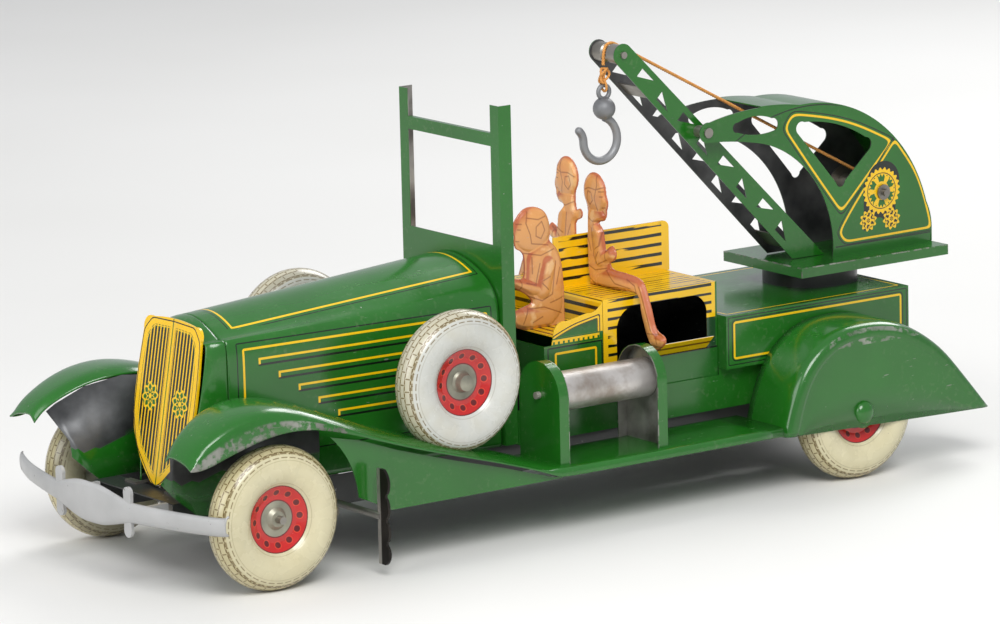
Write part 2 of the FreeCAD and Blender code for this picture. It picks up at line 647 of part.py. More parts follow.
def driver():
    """Flat tin driver in profile, facing forward, with the forearm held out to the wheel."""
    x, z = s.box_front + 2 * s.gap + s.seat_length + 6.0, s.driver_seat_top
    body = new_body("driver_figure")
    pad(body, "y", outline(
        (x, z), (x + 20, z), (x + 27, z + 2), ((x + 29, z + 6), (x + 26, z + 9)), (x + 17, z + 11),
        (x + 20, z + 15), (x + 27, z + 19), ((x + 29, z + 22), (x + 26.5, z + 23)), (x + 21, z + 22),
        (x + 21, z + 31), (x + 22.5, z + 34), ((x + 26, z + 36), (x + 25.5, z + 41)), (x + 26.5, z + 44),
        (x + 25.5, z + 47), ((x + 17, z + 53.5), (x + 8, z + 47)), (x + 7, z + 37), (x + 4, z + 33),
        ((x + 0.7, z + 20), (x, z))), "16 - figure / 2", "16 + figure / 2")
    return keep(body)


def passenger(name, side, station, taller, elbow):
    """Flat tin passenger in profile, facing outwards, with the legs over the bench front.  One sits taller
    and has an elbow behind the back."""
    z, edge = s.seat_top, s.seat_half + 2 * s.gap
    top = z + taller
    body = new_body("passenger_" + name)
    points = [
        (2, z), (edge, z), (edge + 6, z - 17), ((edge + 10, z - 22), (edge + 16, z - 20)),
        ((edge + 19.5, z - 17.5), (edge + 17, z - 15)), (edge + 12.5, z - 13), (edge + 6, z + 3),
        ((edge + 1, z + 7.5), (edge - 5, z + 7.5)), (18.5, z + 8.5), (16.5, top + 11),
        ((22, top + 14), (17.5, top + 18.5)), (13.5, top + 16), (12, top + 24), (9, top + 27.5),
        (13, top + 29), (14.5, top + 33), (15.5, top + 36.5), (14, top + 40), ((5.5, top + 49.5), (-1.2, top + 39)),
        (1, top + 29)]
    if elbow:
        points += [(0.4, top + 27), ((-3.6, top + 27.2), (-3.2, top + 23.6)), (0.9, top + 21)]
    points += [(1.2, top + 19), ((0.8, z + 12), (1.0, z + 4))]
    mirrored = [((side * p[0][0], p[0][1]), (side * p[1][0], p[1][1])) if isinstance(p[0], tuple)
                else (side * p[0], p[1]) for p in points]
    pad(body, "x", outline(*mirrored), f"{station} - figure / 2", f"{station} + figure / 2")
    return keep(body)


for name, side in SIDES:
    bench(name, side)
backrest()
driver_seat()
driver()
passenger("left", 1, "96", 0, False)
passenger("right", -1, "101", 6, True)


def steering_wheel():
    """Rim with three spokes on a sloping column that turns in the dash."""
    column = Part.makeCylinder(s.pin_radius, 17)
    rim = Part.makeTorus(s.steering_radius, 1.0)
    shape = column.fuse(rim)
    for turn in (0, 120, 240):
        spoke = Part.makeCylinder(0.7, s.steering_radius, Vector(0, 0, 0), Vector(1, 0, 0))
        spoke.rotate(Vector(0, 0, 0), Vector(0, 0, 1), turn)
        shape = shape.fuse(spoke)
    shape.rotate(Vector(0, 0, 0), Vector(0, 1, 0), 90)
    shape.translate(Vector(s.dash_station - 14.5, 16, 86))
    return keep_shape("steering_wheel", shape)


# ---------------------------------------------------------------- running-board rollers

def roller_brackets():
    """Round-topped dishes in pairs that face each other and hold the rollers' spindles."""
    radius, z, wall, floor = s.bracket_radius, s.roller_height, s.tin, s.board_height
    solids = []
    corners = [(face, inward, side * s.roller_y) for name, side in SIDES
               for face, inward in ((s.bracket_front, -1), (s.bracket_back, 1))]
    for face, inward, y in corners:
        def arch(shrink, depth, start):
            inner = radius - shrink
            edges = outline((y - inner, floor - shrink), (y + inner, floor - shrink), (y + inner, z),
                            ((y, z + inner), (y - inner, z)))
            plate = Part.Face(Part.Wire([edge.toShape() for edge in edges]))
            plate.rotate(Vector(0, 0, 0), Vector(1, 1, 1), 120)
            plate.translate(Vector(start, 0, 0))
            return plate.extrude(Vector(inward * depth, 0, 0))

        dish = arch(0, s.bracket_depth, face).cut(arch(wall, s.bracket_depth, face + inward * wall))
        hole = Part.makeCylinder(s.pin_radius + s.running, 4, Vector(face - 2, y, z), Vector(1, 0, 0))
        solids.append(dish.cut(hole))
    return keep_shape("roller_brackets", Part.makeCompound(solids))


def roller(name, side):
    """Bare tin roller on its spindle."""
    body = new_body("roller_" + name)
    y, z, tube = side * s.roller_y, s.roller_height, s.roller_radius
    ends = ("bracket_back + tin + gap", "bracket_front - tin - gap")
    pad(body, "x", ring(y, z, tube), *ends)
    cut(body, "x", ring(y, z, tube - s.tin), "bracket_back", ends[0] + " + 6")
    cut(body, "x", ring(y, z, tube - s.tin), ends[0] + " + 6 + tin", "bracket_front")
    pad(body, "x", ring(y, z, s.pin_radius), "bracket_back - 2", "bracket_front + 2")
    return keep(body)


steering_wheel()
roller_brackets()
for name, side in SIDES:
    roller(name, side)


# ---------------------------------------------------------------- clockwork motor

def toothed_wheel(teeth, phase, centre_x, centre_z, bore, y0, width):
    """Gear with straight-sided teeth, thin enough to run with backlash."""
    pitch, module = 0.5 * teeth * s.tooth_module, s.tooth_module
    tip, root = pitch + 0.85 * module, pitch - 1.15 * module
    share = 2 * math.pi / teeth
    points = []
    for tooth in range(int(teeth)):
        middle = tooth * share + phase
        for radius, offset in ((root, -0.26), (tip, -0.10), (tip, 0.10), (root, 0.26)):
            angle = middle + offset * share
            points.append(Vector(centre_x + radius * math.cos(angle), y0,
                                 centre_z + radius * math.sin(angle)))
    wheel = Part.Face(Part.makePolygon(points + points[:1])).extrude(Vector(0, width, 0))
    if bore:
        wheel = wheel.cut(Part.makeCylinder(bore, width, Vector(centre_x, y0, centre_z), Vector(0, 1, 0)))
    return wheel


def motor():
    """Key gear, second arbor and axle pinion between two plates, with the mainspring on the key arbor."""
    wide, small, second = s.great_teeth, s.pinion_teeth, s.second_teeth
    key_x, key_z, axle_x, axle_z = s.key_station, s.key_height, s.wheelbase, s.wheel_radius
    first = 0.5 * s.tooth_module * (wide + small)
    last = 0.5 * s.tooth_module * (second + small)
    span = math.hypot(axle_x - key_x, axle_z - key_z)
    base = math.atan2(axle_z - key_z, axle_x - key_x)
    climb = math.acos((first ** 2 + span ** 2 - last ** 2) / (2 * first * span))
    arbor_x, arbor_z = key_x + first * math.cos(base + climb), key_z + first * math.sin(base + climb)
    towards = base + climb
    onwards = math.atan2(axle_z - arbor_z, axle_x - arbor_x)
    half, wall, width, pin = s.motor_half, s.tin * 2, s.gear_width, s.pin_radius

    def lightened(wheel, x, z, y0, radius, hole):
        """The gear with a ring of round holes."""
        for turn in range(6):
            angle = math.pi * turn / 3
            centre = Vector(x + radius * math.cos(angle), y0, z + radius * math.sin(angle))
            wheel = wheel.cut(Part.makeCylinder(hole, width, centre, Vector(0, 1, 0)))
        return wheel

    great = toothed_wheel(wide, towards, key_x, key_z, pin, -4, width)
    keep_shape("great_gear", lightened(great, key_x, key_z, -4, 9.3, 4.2))
    small_gap = towards + math.pi + math.pi / small
    lay_pinion = toothed_wheel(small, small_gap, arbor_x, arbor_z, 0, -4, width + 3)
    lay_gear = toothed_wheel(second, onwards, arbor_x, arbor_z, 0, 1.5, width)
    lay_gear = lightened(lay_gear, arbor_x, arbor_z, 1.5, 12.6, 5.2)
    spindle = Part.makeCylinder(pin, 2 * half, Vector(arbor_x, -half, arbor_z), Vector(0, 1, 0))
    keep_shape("second_gear", lay_pinion.fuse([lay_gear, spindle]))
    last_gap = onwards + math.pi + math.pi / small
    pinion = toothed_wheel(small, last_gap, axle_x, axle_z, s.axle_radius, 1.5, width)
    reach = s.front_track + s.axle_end
    rod = Part.makeCylinder(s.axle_radius, 2 * reach, Vector(axle_x, -reach, axle_z), Vector(0, 1, 0))
    keep_shape("front_axle", Part.makeCompound([rod, pinion]))

    plates, high = [], s.rail_top + 22
    side_view = [(key_x - 20, 11.5), (key_x + 14, 11.5), (key_x + 26, 20), (axle_x + 7, 20),
                 (axle_x + 7, high), (key_x - 20, high), (key_x - 20, 11.5)]
    for low in (-half, half - wall):
        corners = [Vector(x, low, z) for x, z in side_view]
        plate = Part.Face(Part.makePolygon(corners)).extrude(Vector(0, wall, 0))
        for x, z, radius in ((key_x, key_z, pin), (arbor_x, arbor_z, pin), (axle_x, axle_z, s.axle_radius)):
            hole = Part.makeCylinder(radius + s.running, wall, Vector(x, low, z), Vector(0, 1, 0))
            plate = plate.cut(hole)
        plates.append(plate)
    corners = ((key_x - 16, high - 4), (axle_x + 3, high - 4), (key_x - 18.3, 14.2))
    pillars = [Part.makeCylinder(1.8, 2 * half - 2 * wall, Vector(x, wall - half, z), Vector(0, 1, 0))
               for x, z in corners]
    ears = [Part.makeBox(3, 7, wall, Vector(x, low, s.rail_top)) for low in (-half - 7, half)
            for x in (s.motor_bay_back - 4, s.motor_bay_front + 1)]
    frame = plates[0].fuse([plates[1]] + pillars)
    bridge = [Part.makeBox(s.motor_bay_front - s.motor_bay_back + 8, wall, wall,
                           Vector(s.motor_bay_back - 4, low, s.rail_top)) for low in (-half, half - wall)]
    frame = frame.fuse(bridge + ears)
    keep_shape("motor_frame", frame)

    coil = []
    for radius in (4.0, 6.5, 9.0, 11.5, 14.0):
        tube = Part.makeCylinder(radius, 6, Vector(key_x, 4.2, key_z), Vector(0, 1, 0))
        coil.append(tube.cut(Part.makeCylinder(radius - 0.6, 6, Vector(key_x, 4.2, key_z), Vector(0, 1, 0))))
    stay = Part.makeBox(13.8 - pin - s.gap, 6, 0.6, Vector(key_x - 13.8, 4.2, key_z - 0.3))
    keep_shape("mainspring", coil[0].fuse(coil[1:] + [stay]))

    handle = new_body("winding_key")
    y, wide_y, tall = s.key_inner, s.key_width, s.key_half
    bites = []
    for level in (-0.56, -0.06, 0.44):
        lower, upper = key_z + (level - 0.22) * tall, key_z + (level + 0.06) * tall
        bites += [((y + 0.98 * wide_y, lower), (y + 0.86 * wide_y, key_z + (level - 0.06) * tall)),
                  ((y + 0.74 * wide_y, key_z + level * tall), (y + 0.86 * wide_y, upper))]
    pad(handle, "x", outline(
        (y, key_z - tall), (y + 0.6 * wide_y, key_z - tall), *bites,
        ((y + wide_y, key_z + 0.78 * tall), (y + 0.6 * wide_y, key_z + tall)),
        (y, key_z + tall)), "key_station - 0.6", "key_station + 0.6")
    pad(handle, "y", ring(key_x, key_z, pin), "-motor_half", "key_inner + 2")
    keep(handle)


motor()


# ---------------------------------------------------------------- crane

def turntable():
    """Dished disc and rivet on the box that the crane base turns on."""
    rise, spot = s.base_top - s.tin - s.running - s.box_top, Vector(-s.pivot_back, 0, s.box_top)
    disc = Part.makeCylinder(s.turntable_radius, rise, spot)
    disc = disc.cut(Part.makeCylinder(s.turntable_radius - s.tin, rise - s.tin, spot))
    rivet = Part.makeCylinder(s.pivot_radius, s.base_top + 0.6 - s.box_top + 2, spot - Vector(0, 0, 2))
    head = Part.makeCylinder(2 * s.pivot_radius, 1.2, Vector(-s.pivot_back, 0, s.base_top + s.running))
    return keep_shape("turntable", disc.fuse([rivet, head]))


def crane_base():
    """Shallow tray, turned upside down, with a hole for the pivot rivet."""
    x, half_x, half_y, wall = -s.base_back, s.base_half_length, s.base_half_width, s.tin
    body = new_body("crane_base")
    pad(body, "z", box(x - half_x, -half_y, x + half_x, half_y), "base_top - base_rim", "base_top")
    cut(body, "z", box(x - half_x + wall, wall - half_y, x + half_x - wall, half_y - wall),
        "base_top - base_rim - tin", "base_top - tin")
    cut(body, "z", ring(-s.pivot_back, 0, s.pivot_radius + s.running), "base_top - 2 * tin", "base_top + tin")
    return keep(body)


def cab_side(name, side):
    """Cab side: a quarter dome that reaches forward to the nose, with two windows."""
    back, front, foot = -s.cab_foot_back, -s.cab_foot_front, s.base_top
    nose_x, nose_z, nose_r = s.nose_x, s.nose_z, s.nose_radius
    body = new_body("cab_side_" + name)
    low, high = sides(side, "cab_half - tin", "cab_half")
    pad(body, "y", outline(
        (back, foot), (front, foot), ((-14.5, foot + 38.2), (12, 142.6)),
        ((27, nose_z - 5.6), (nose_x - 0.5, nose_z - nose_r)),
        ((nose_x + nose_r, nose_z), (nose_x - 1, nose_z + nose_r)),
        ((14, 158.6), (-9, 156.8)), ((-55, 142.5), (back + 2.5, foot + 18)),
        ((back, foot + 11), (back - 0.5, foot + 5))), low, high)
    wide_low, wide_high = sides(side, "cab_half - 2 * tin", "cab_half + tin")
    cut(body, "y", outline((5.5, 147.6), ((3.2, 150.6), (6.5, 153.2)), ((17, 155.2), (25.6, 153.4)),
                           ((28.2, 151.0), (25.6, 149.1)), ((16, 147.0), (5.5, 147.6))), wide_low, wide_high)
    cut(body, "y", outline((-11.3, 149.4), ((-7.4, 148.6), (-7.5, 144.9)), ((-17.8, 133.1), (-28.8, 120.2)),
                           ((-31.3, 118.2), (-33.8, 120.6)), (-47.8, 132.9), ((-48.9, 136.2), (-45.8, 138.7)),
                           ((-30.3, 146.1), (-11.3, 149.4))), wide_low, wide_high)
    cut(body, "y", ring(-s.drum_back, s.drum_height, s.pin_radius + s.running), wide_low, wide_high)
    return keep(body)


def cab_roof():
    """Roof strip that follows the cab's back from the base up to its front edge."""
    back, foot, wall = -s.cab_foot_back, s.base_top, s.tin
    body = new_body("cab_roof")
    front = s.roof_front
    pad(body, "y", outline(
        (back - 0.5, foot), (back - 0.5 - wall, foot), (back - 0.5 - wall, foot + 5),
        ((back - wall, foot + 11.2), (back + 2.5 - wall, foot + 18.3)),
        ((-55.4, 142.9), (-9, 156.8 + wall)), ((2.5, 158.3 + wall), (front, 158.6 + wall)), (front, 158.6),
        ((2.5, 158.3), (-9, 156.8)), ((-55, 142.5), (back + 2.5, foot + 18)),
        ((back, foot + 11), (back - 0.5, foot + 5))), "-cab_half", "cab_half")
    return keep(body)


def boom_frame():
    """Foot, direction along the boom and direction across it, in the plane of the boom plates."""
    foot, tip = Vector(s.boom_foot_x, s.base_top, 0), Vector(s.tip_x, s.tip_z, 0)
    along = (tip - foot).normalize()
    return foot, tip, along, Vector(-along.y, along.x, 0)


def boom_side(name, side):
    """Boom plate with a row of triangular holes and a round tip."""
    foot, tip, along, across = boom_frame()
    length = (tip - foot).Length
    wide, narrow = s.boom_foot_width / 2, s.boom_tip_width / 2

    def at(distance, share):
        """Point at a distance from the foot, and at a share of the half width across."""
        half = wide + (narrow - wide) * distance / length
        point = foot + along * distance + across * (half * share)
        return (point.x, point.y)

    slope = along.x / along.y
    low, high = sides(side, "boom_half - tin", "boom_half")
    body = new_body("boom_side_" + name)
    end = tip + along * narrow
    pad(body, "y", outline(at(wide / slope + 0.4, -1), at(length, -1), ((end.x, end.y), at(length, 1)),
                           at(0.4 - wide / slope, 1)), low, high)
    wide_low, wide_high = sides(side, "boom_half - 2 * tin", "boom_half + tin")
    holes, pitch, first = 8, 15.2, 15.0
    for rank in range(holes):
        here = first + rank * pitch
        share = 0.5 if rank % 2 == 0 else -0.5
        if 86 < here + 5 < 96:
            continue
        near, far = at(here, -share), at(here + 8.5, -share)
        cut(body, "y", outline(near, far, at(here + 8.5, 0.8 * share)), wide_low, wide_high)
    cut(body, "y", ring(s.tip_x, s.tip_z, s.pin_radius + s.running), wide_low, wide_high)
    return keep(body)


def boom_ties():
    """Cross plates between the boom plates, and the collars that pin the boom to the cab nose."""
    foot, tip, along, across = boom_frame()
    length = (tip - foot).Length
    inner = s.boom_half - s.tin
    solids = []
    angle = math.degrees(math.atan2(along.y, along.x))
    for distance, size_along in ((10, 10), (length - 26, 8)):
        tie = Part.makeBox(size_along, 2 * inner, s.tin, Vector(0, -inner, -3.6))
        tie.rotate(Vector(0, 0, 0), Vector(0, 1, 0), -angle)
        spot = foot + along * distance
        tie.translate(Vector(spot.x, 0, spot.y))
        solids.append(tie)
    for side in (1, -1):
        low = s.boom_half if side > 0 else -(s.cab_half - s.tin)
        span = s.cab_half - s.tin - s.boom_half
        solids.append(Part.makeCylinder(2.6, span, Vector(s.nose_x, low, s.nose_z), Vector(0, 1, 0)))
        head = s.cab_half if side > 0 else -s.cab_half - 0.8
        solids.append(Part.makeCylinder(2.2, 0.8, Vector(s.nose_x, head, s.nose_z), Vector(0, 1, 0)))
    return keep_shape("boom_ties", Part.makeCompound(solids))


def tip_roller():
    """Grooved roller on its pin between the boom plates."""
    body = new_body("tip_roller")
    half, radius, pin = s.boom_half - s.tin - s.gap, s.tip_roller_radius, s.pin_radius
    end, flange = s.boom_half + 1, radius + 1
    spin(body, outline((0, -end), (pin, -end), (pin, -half), (flange, -half), (flange, -2.2), (radius, -1.2),
                       (radius, 1.2), (flange, 2.2), (flange, half), (pin, half), (pin, end), (0, end)))
    return keep(body, "tip_x", "0", "tip_z")


def drum():
    """Cable drum with end flanges, one of them the ratchet wheel, on the shaft that the crank turns."""
    half, radius, pin = s.drum_half, s.drum_radius, s.pin_radius
    near, far = s.cab_half + 3.0, -s.cab_half - 2.0
    body = new_body("cable_drum")
    flange, edge, washer = radius + 4, half + 0.8, s.cab_half + s.gap
    spin(body, outline((0, far), (pin, far), (pin, -edge), (flange, -edge), (flange, -half), (radius, -half),
                       (radius, half), (flange, half), (flange, edge), (pin, edge), (pin, washer),
                       (3.4, washer), (3.4, washer + 0.8), (pin, washer + 0.8), (pin, near), (0, near)))
    keep(body, "-drum_back", "0", "drum_height")
    points = []
    teeth = 18
    for tooth in range(teeth):
        for radius, offset in ((s.ratchet_radius - 2.5, 0.0), (s.ratchet_radius, 0.85)):
            angle = 2 * math.pi * (tooth + offset) / teeth
            points.append(Vector(radius * math.cos(angle) - s.drum_back, half + 0.8,
                                 radius * math.sin(angle) + s.drum_height))
    wheel = Part.Face(Part.makePolygon(points + points[:1])).extrude(Vector(0, 1.0, 0))
    hub = Part.makeCylinder(pin, 1.0, Vector(-s.drum_back, half + 0.8, s.drum_height), Vector(0, 1, 0))
    keep_shape("ratchet_wheel", wheel.cut(hub))


def crank():
    """Crank handle on the far end of the drum shaft."""
    x, z, start, pin = -s.drum_back, s.drum_height, -s.cab_half - 2.0, s.pin_radius
    arm = Part.makeBox(s.crank_throw + 6, 1.2, 6, Vector(x - 3, start - 1.2, z - 3))
    shank = Part.makeCylinder(1.2, 10, Vector(x + s.crank_throw, start - 11.2, z), Vector(0, 1, 0))
    grip = Part.makeCylinder(2.6, 8, Vector(x + s.crank_throw, start - 10.6, z), Vector(0, 1, 0))
    return keep_shape("crank_handle", arm.fuse([shank, grip]))


turntable()
crane_base()
for name, side in SIDES:
    cab_side(name, side)
    boom_side(name, side)
cab_roof()
boom_ties()
tip_roller()
drum()
crank()


# ---------------------------------------------------------------- cord and hook

# Route of the cord: off the top of the drum, straight to the boom tip, round the roller in two turns
# and down to the knot.  Corners are (x, z) in the truck's frame, with the drum shaft at the start.
CORD = [(-57.7, 118.3), (81.5, 193.4), (85.5, 190.9), (85.5, 183.6)]


def cord():
    """Tube of straight runs joined by tangent arcs."""
    corners = [Vector(x, 0, z) for x, z in CORD]
    edges, here, length = [], corners[0], 0.0
    for before, corner, after in zip(corners, corners[1:], corners[2:]):
        back, on = (before - corner), (after - corner)
        run = min(back.Length, on.Length)
        half_turn = (math.pi - back.getAngle(on)) / 2
        reach = 0.45 * run
        radius = reach / math.tan(half_turn)
        print(f"cord radius {radius:.2f} at a turn of {math.degrees(2 * half_turn):.0f} degrees")
        start, stop = corner + back.normalize() * reach, corner + on.normalize() * reach
        bisector = (back + on).normalize()
        middle = corner + bisector * (radius / math.cos(half_turn) - radius)
        edges.append(Part.LineSegment(here, start).toShape())
        edges.append(Part.Arc(start, middle, stop).toShape())
        here = stop
    edges.append(Part.LineSegment(here, corners[-1]).toShape())
    path = Part.Wire(edges)
    direction = (corners[1] - corners[0]).normalize()
    section = Part.Wire([Part.makeCircle(s.cord_radius, corners[0], direction)])
    tube = path.makePipeShell([section], True, False)
    expected = math.pi * s.cord_radius ** 2 * path.Length
    print(f"cord length {path.Length:.1f}, volume over section times length {tube.Volume / expected:.3f}")
    return keep_shape("hoist_cord", tube)


def knot():
    """Knot above the hook, with the loop that goes through the hook's eye."""
    x, top, low = CORD[-1][0], CORD[-1][1], s.eye_height
    major, minor = 2.1, 0.65
    loop = Part.makeTorus(major, minor, Vector(x, 0, low), Vector(1, 0, 0))
    lump = Part.makeCone(1.4, 2.7, 2.5, Vector(x, 0, low + major))
    lump = lump.fuse(Part.makeCone(2.7, 1.2, top - low - major - 2.5, Vector(x, 0, low + major + 2.5)))
    return keep_shape("cord_knot", loop.fuse(lump))


def hook():
    """Cast hook: eye, ball and bend in one piece."""
    x, bar = CORD[-1][0], s.eye_height
    eye_z = bar - s.eye_radius
    ball_z = eye_z - s.eye_radius - s.ball_radius + 0.6
    bend = Vector(x + 2.4, 0, ball_z - s.ball_radius - 8.6)
    wire, radius = s.hook_wire, s.hook_radius
    top = Vector(x, 0, ball_z - s.ball_radius + 1)

    def tangent_arc(upright, end):
        """Arc that leaves a point upright and ends at another, both in the hook's plane."""
        across, rise = end.x - upright.x, end.z - upright.z
        reach = (across ** 2 + rise ** 2) / (2 * across)
        middle = Vector(upright.x + reach, 0, upright.z)
        half_way = ((upright - middle).normalize() + (end - middle).normalize()).normalize()
        return Part.Arc(upright, middle + half_way * abs(reach), end).toShape()

    left, right = bend - Vector(radius, 0, 0), bend + Vector(radius, 0, 0)
    point = right + Vector(2.2, 0, 5.2)
    bow = Part.Arc(left, bend - Vector(0, 0, radius), right).toShape()
    shank, tail = tangent_arc(left, top), tangent_arc(right, point)
    pieces = []
    for edge in (shank, bow, tail):
        spot, way = edge.valueAt(edge.FirstParameter), edge.tangentAt(edge.FirstParameter)
        section = Part.Wire([Part.makeCircle(wire, spot, way)])
        pieces.append(Part.Wire([edge]).makePipeShell([section], True, False))
    bent = pieces[0].fuse(pieces[1:])
    cap = Part.makeSphere(wire, point)
    eye = Part.makeTorus(s.eye_radius, s.eye_wire, Vector(x, 0, eye_z), Vector(0, 1, 0))
    ball = Part.makeSphere(s.ball_radius, Vector(x, 0, ball_z))
    return keep_shape("hook", ball.fuse([eye, bent, cap]))


cord()
knot()
hook()


# ---------------------------------------------------------------- checks and files

doc.recompute()
faults = [item.Label for item in doc.Objects if "Invalid" in item.State or "Error" in item.State]
for node in nodes:
    if node.Shape.isNull() or not node.Shape.isValid() or not node.Shape.Solids:
        faults.append(node.Label)
if faults:
    raise RuntimeError("failed objects: " + ", ".join(sorted(set(faults))))

os.makedirs("parts", exist_ok=True)
for node in nodes:
    node.Shape.exportStep(os.path.join("parts", node.Label + ".step"))
print(len(nodes), "sub-parts written")
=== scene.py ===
import math

import bmesh
import bpy
import numpy as np
from mathutils import Matrix, Vector


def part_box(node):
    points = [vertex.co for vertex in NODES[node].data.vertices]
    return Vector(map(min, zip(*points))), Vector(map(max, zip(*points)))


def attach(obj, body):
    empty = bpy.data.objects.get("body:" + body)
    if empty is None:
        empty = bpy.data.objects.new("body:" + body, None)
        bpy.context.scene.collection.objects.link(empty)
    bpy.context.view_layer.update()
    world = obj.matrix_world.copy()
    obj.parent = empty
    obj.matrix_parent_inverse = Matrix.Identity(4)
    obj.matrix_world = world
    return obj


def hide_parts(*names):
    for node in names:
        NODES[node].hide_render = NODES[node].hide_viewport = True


bl_info = {
    "name": "Tinplate crane truck",
    "version": (1, 0, 0),
    "blender": (4, 5, 0),
    "location": "View3D > Sidebar > Crane truck",
    "description": "Builds the looks of a lithographed toy crane truck around its packed frame",
    "category": "Object",
}

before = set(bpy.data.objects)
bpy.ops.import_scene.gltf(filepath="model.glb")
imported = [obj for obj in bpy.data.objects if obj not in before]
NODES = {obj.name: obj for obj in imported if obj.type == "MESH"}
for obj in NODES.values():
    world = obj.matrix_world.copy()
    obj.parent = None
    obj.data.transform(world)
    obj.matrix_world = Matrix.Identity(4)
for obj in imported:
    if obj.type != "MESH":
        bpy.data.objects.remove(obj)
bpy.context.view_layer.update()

# Sizes are in millimetres, but the cord's length is in metres.  Stations count forward from the rear axle,
# which is AXLE_BACK behind the origin.
AXLE_BACK = 135.0
FRONT_AXLE = 303.0
SPARE_X, SPARE_Z = 208.0, 72.5
WHEEL_RADIUS = 30.0
TIN = 0.5
SHEET = 0.4
THIN_LINE = 0.45
BENCH_BACK, BENCH_FRONT, BENCH_TOP = 53.3, 114.3, 90.0
DRIVER_BACK, DRIVER_SEAT, DRIVER_SIDE = 120.6, 78.0, 16.0
BUMPER_FRONT, BUMPER_HEIGHT = 352.6, 33.0
SIDES = (("left", 1), ("right", -1))


def spot(station, y, z):
    """Point in the frame, in metres, from a station, an offset to the left and a height in millimetres."""
    return Vector(((station - AXLE_BACK) / 1000, y / 1000, z / 1000))


def tint(red, green, blue):
    """Linear colour from display values of 0 to 255."""
    return tuple(((c / 255 + 0.055) / 1.055) ** 2.4 if c > 10 else c / 255 / 12.92
                 for c in (red, green, blue))


def swatch(name, description, *display):
    """Colour that a user would change, from display values of 0 to 255."""
    return bpy.props.FloatVectorProperty(name=name, description=description, subtype="COLOR", size=3,
                                         min=0, max=1, default=tint(*display))


class Look(bpy.types.PropertyGroup):
    """Sizes and colours that a user would change."""

    green: swatch("Green", "Green of the lithographed tinplate", 27, 98, 22)
    yellow: swatch("Yellow", "Yellow of the pinstripes, slats and grille", 238, 190, 6)
    black: swatch("Line black", "Dark green-black of the shadow lines", 8, 22, 12)
    red: swatch("Red", "Red of the wheel discs", 188, 24, 20)
    cream: swatch("Cream", "Ground colour of the tyres", 205, 197, 162)
    flesh: swatch("Figure", "Ground colour of the figures", 222, 158, 92)
    cord: swatch("Cord", "Colour of the hoisting cord", 224, 150, 72)
    cord_width: bpy.props.FloatProperty(
        name="Cord width", description="Diameter of the hoisting cord", default=0.0016, min=0.0004, max=0.004,
        subtype="DISTANCE", unit="LENGTH", precision=4)
    stripe: bpy.props.FloatProperty(
        name="Stripe", description="Width of a yellow pinstripe in millimetres", default=0.95, min=0.2,
        max=3)


# ---------------------------------------------------------------- materials

class Field:
    """Number or colour that varies over a surface, for use in sums."""

    def __init__(self, paint, socket):
        self.paint, self.socket = paint, socket

    def __add__(self, other):
        return self.paint.maths("ADD", self, other)

    def __sub__(self, other):
        return self.paint.maths("SUBTRACT", self, other)

    def __rsub__(self, other):
        return self.paint.maths("SUBTRACT", other, self)

    def __mul__(self, other):
        return self.paint.maths("MULTIPLY", self, other)

    def __abs__(self):
        return self.paint.maths("ABSOLUTE", self)

    def __or__(self, other):
        return self.paint.maths("MAXIMUM", self, other)

    __radd__, __rmul__ = __add__, __mul__


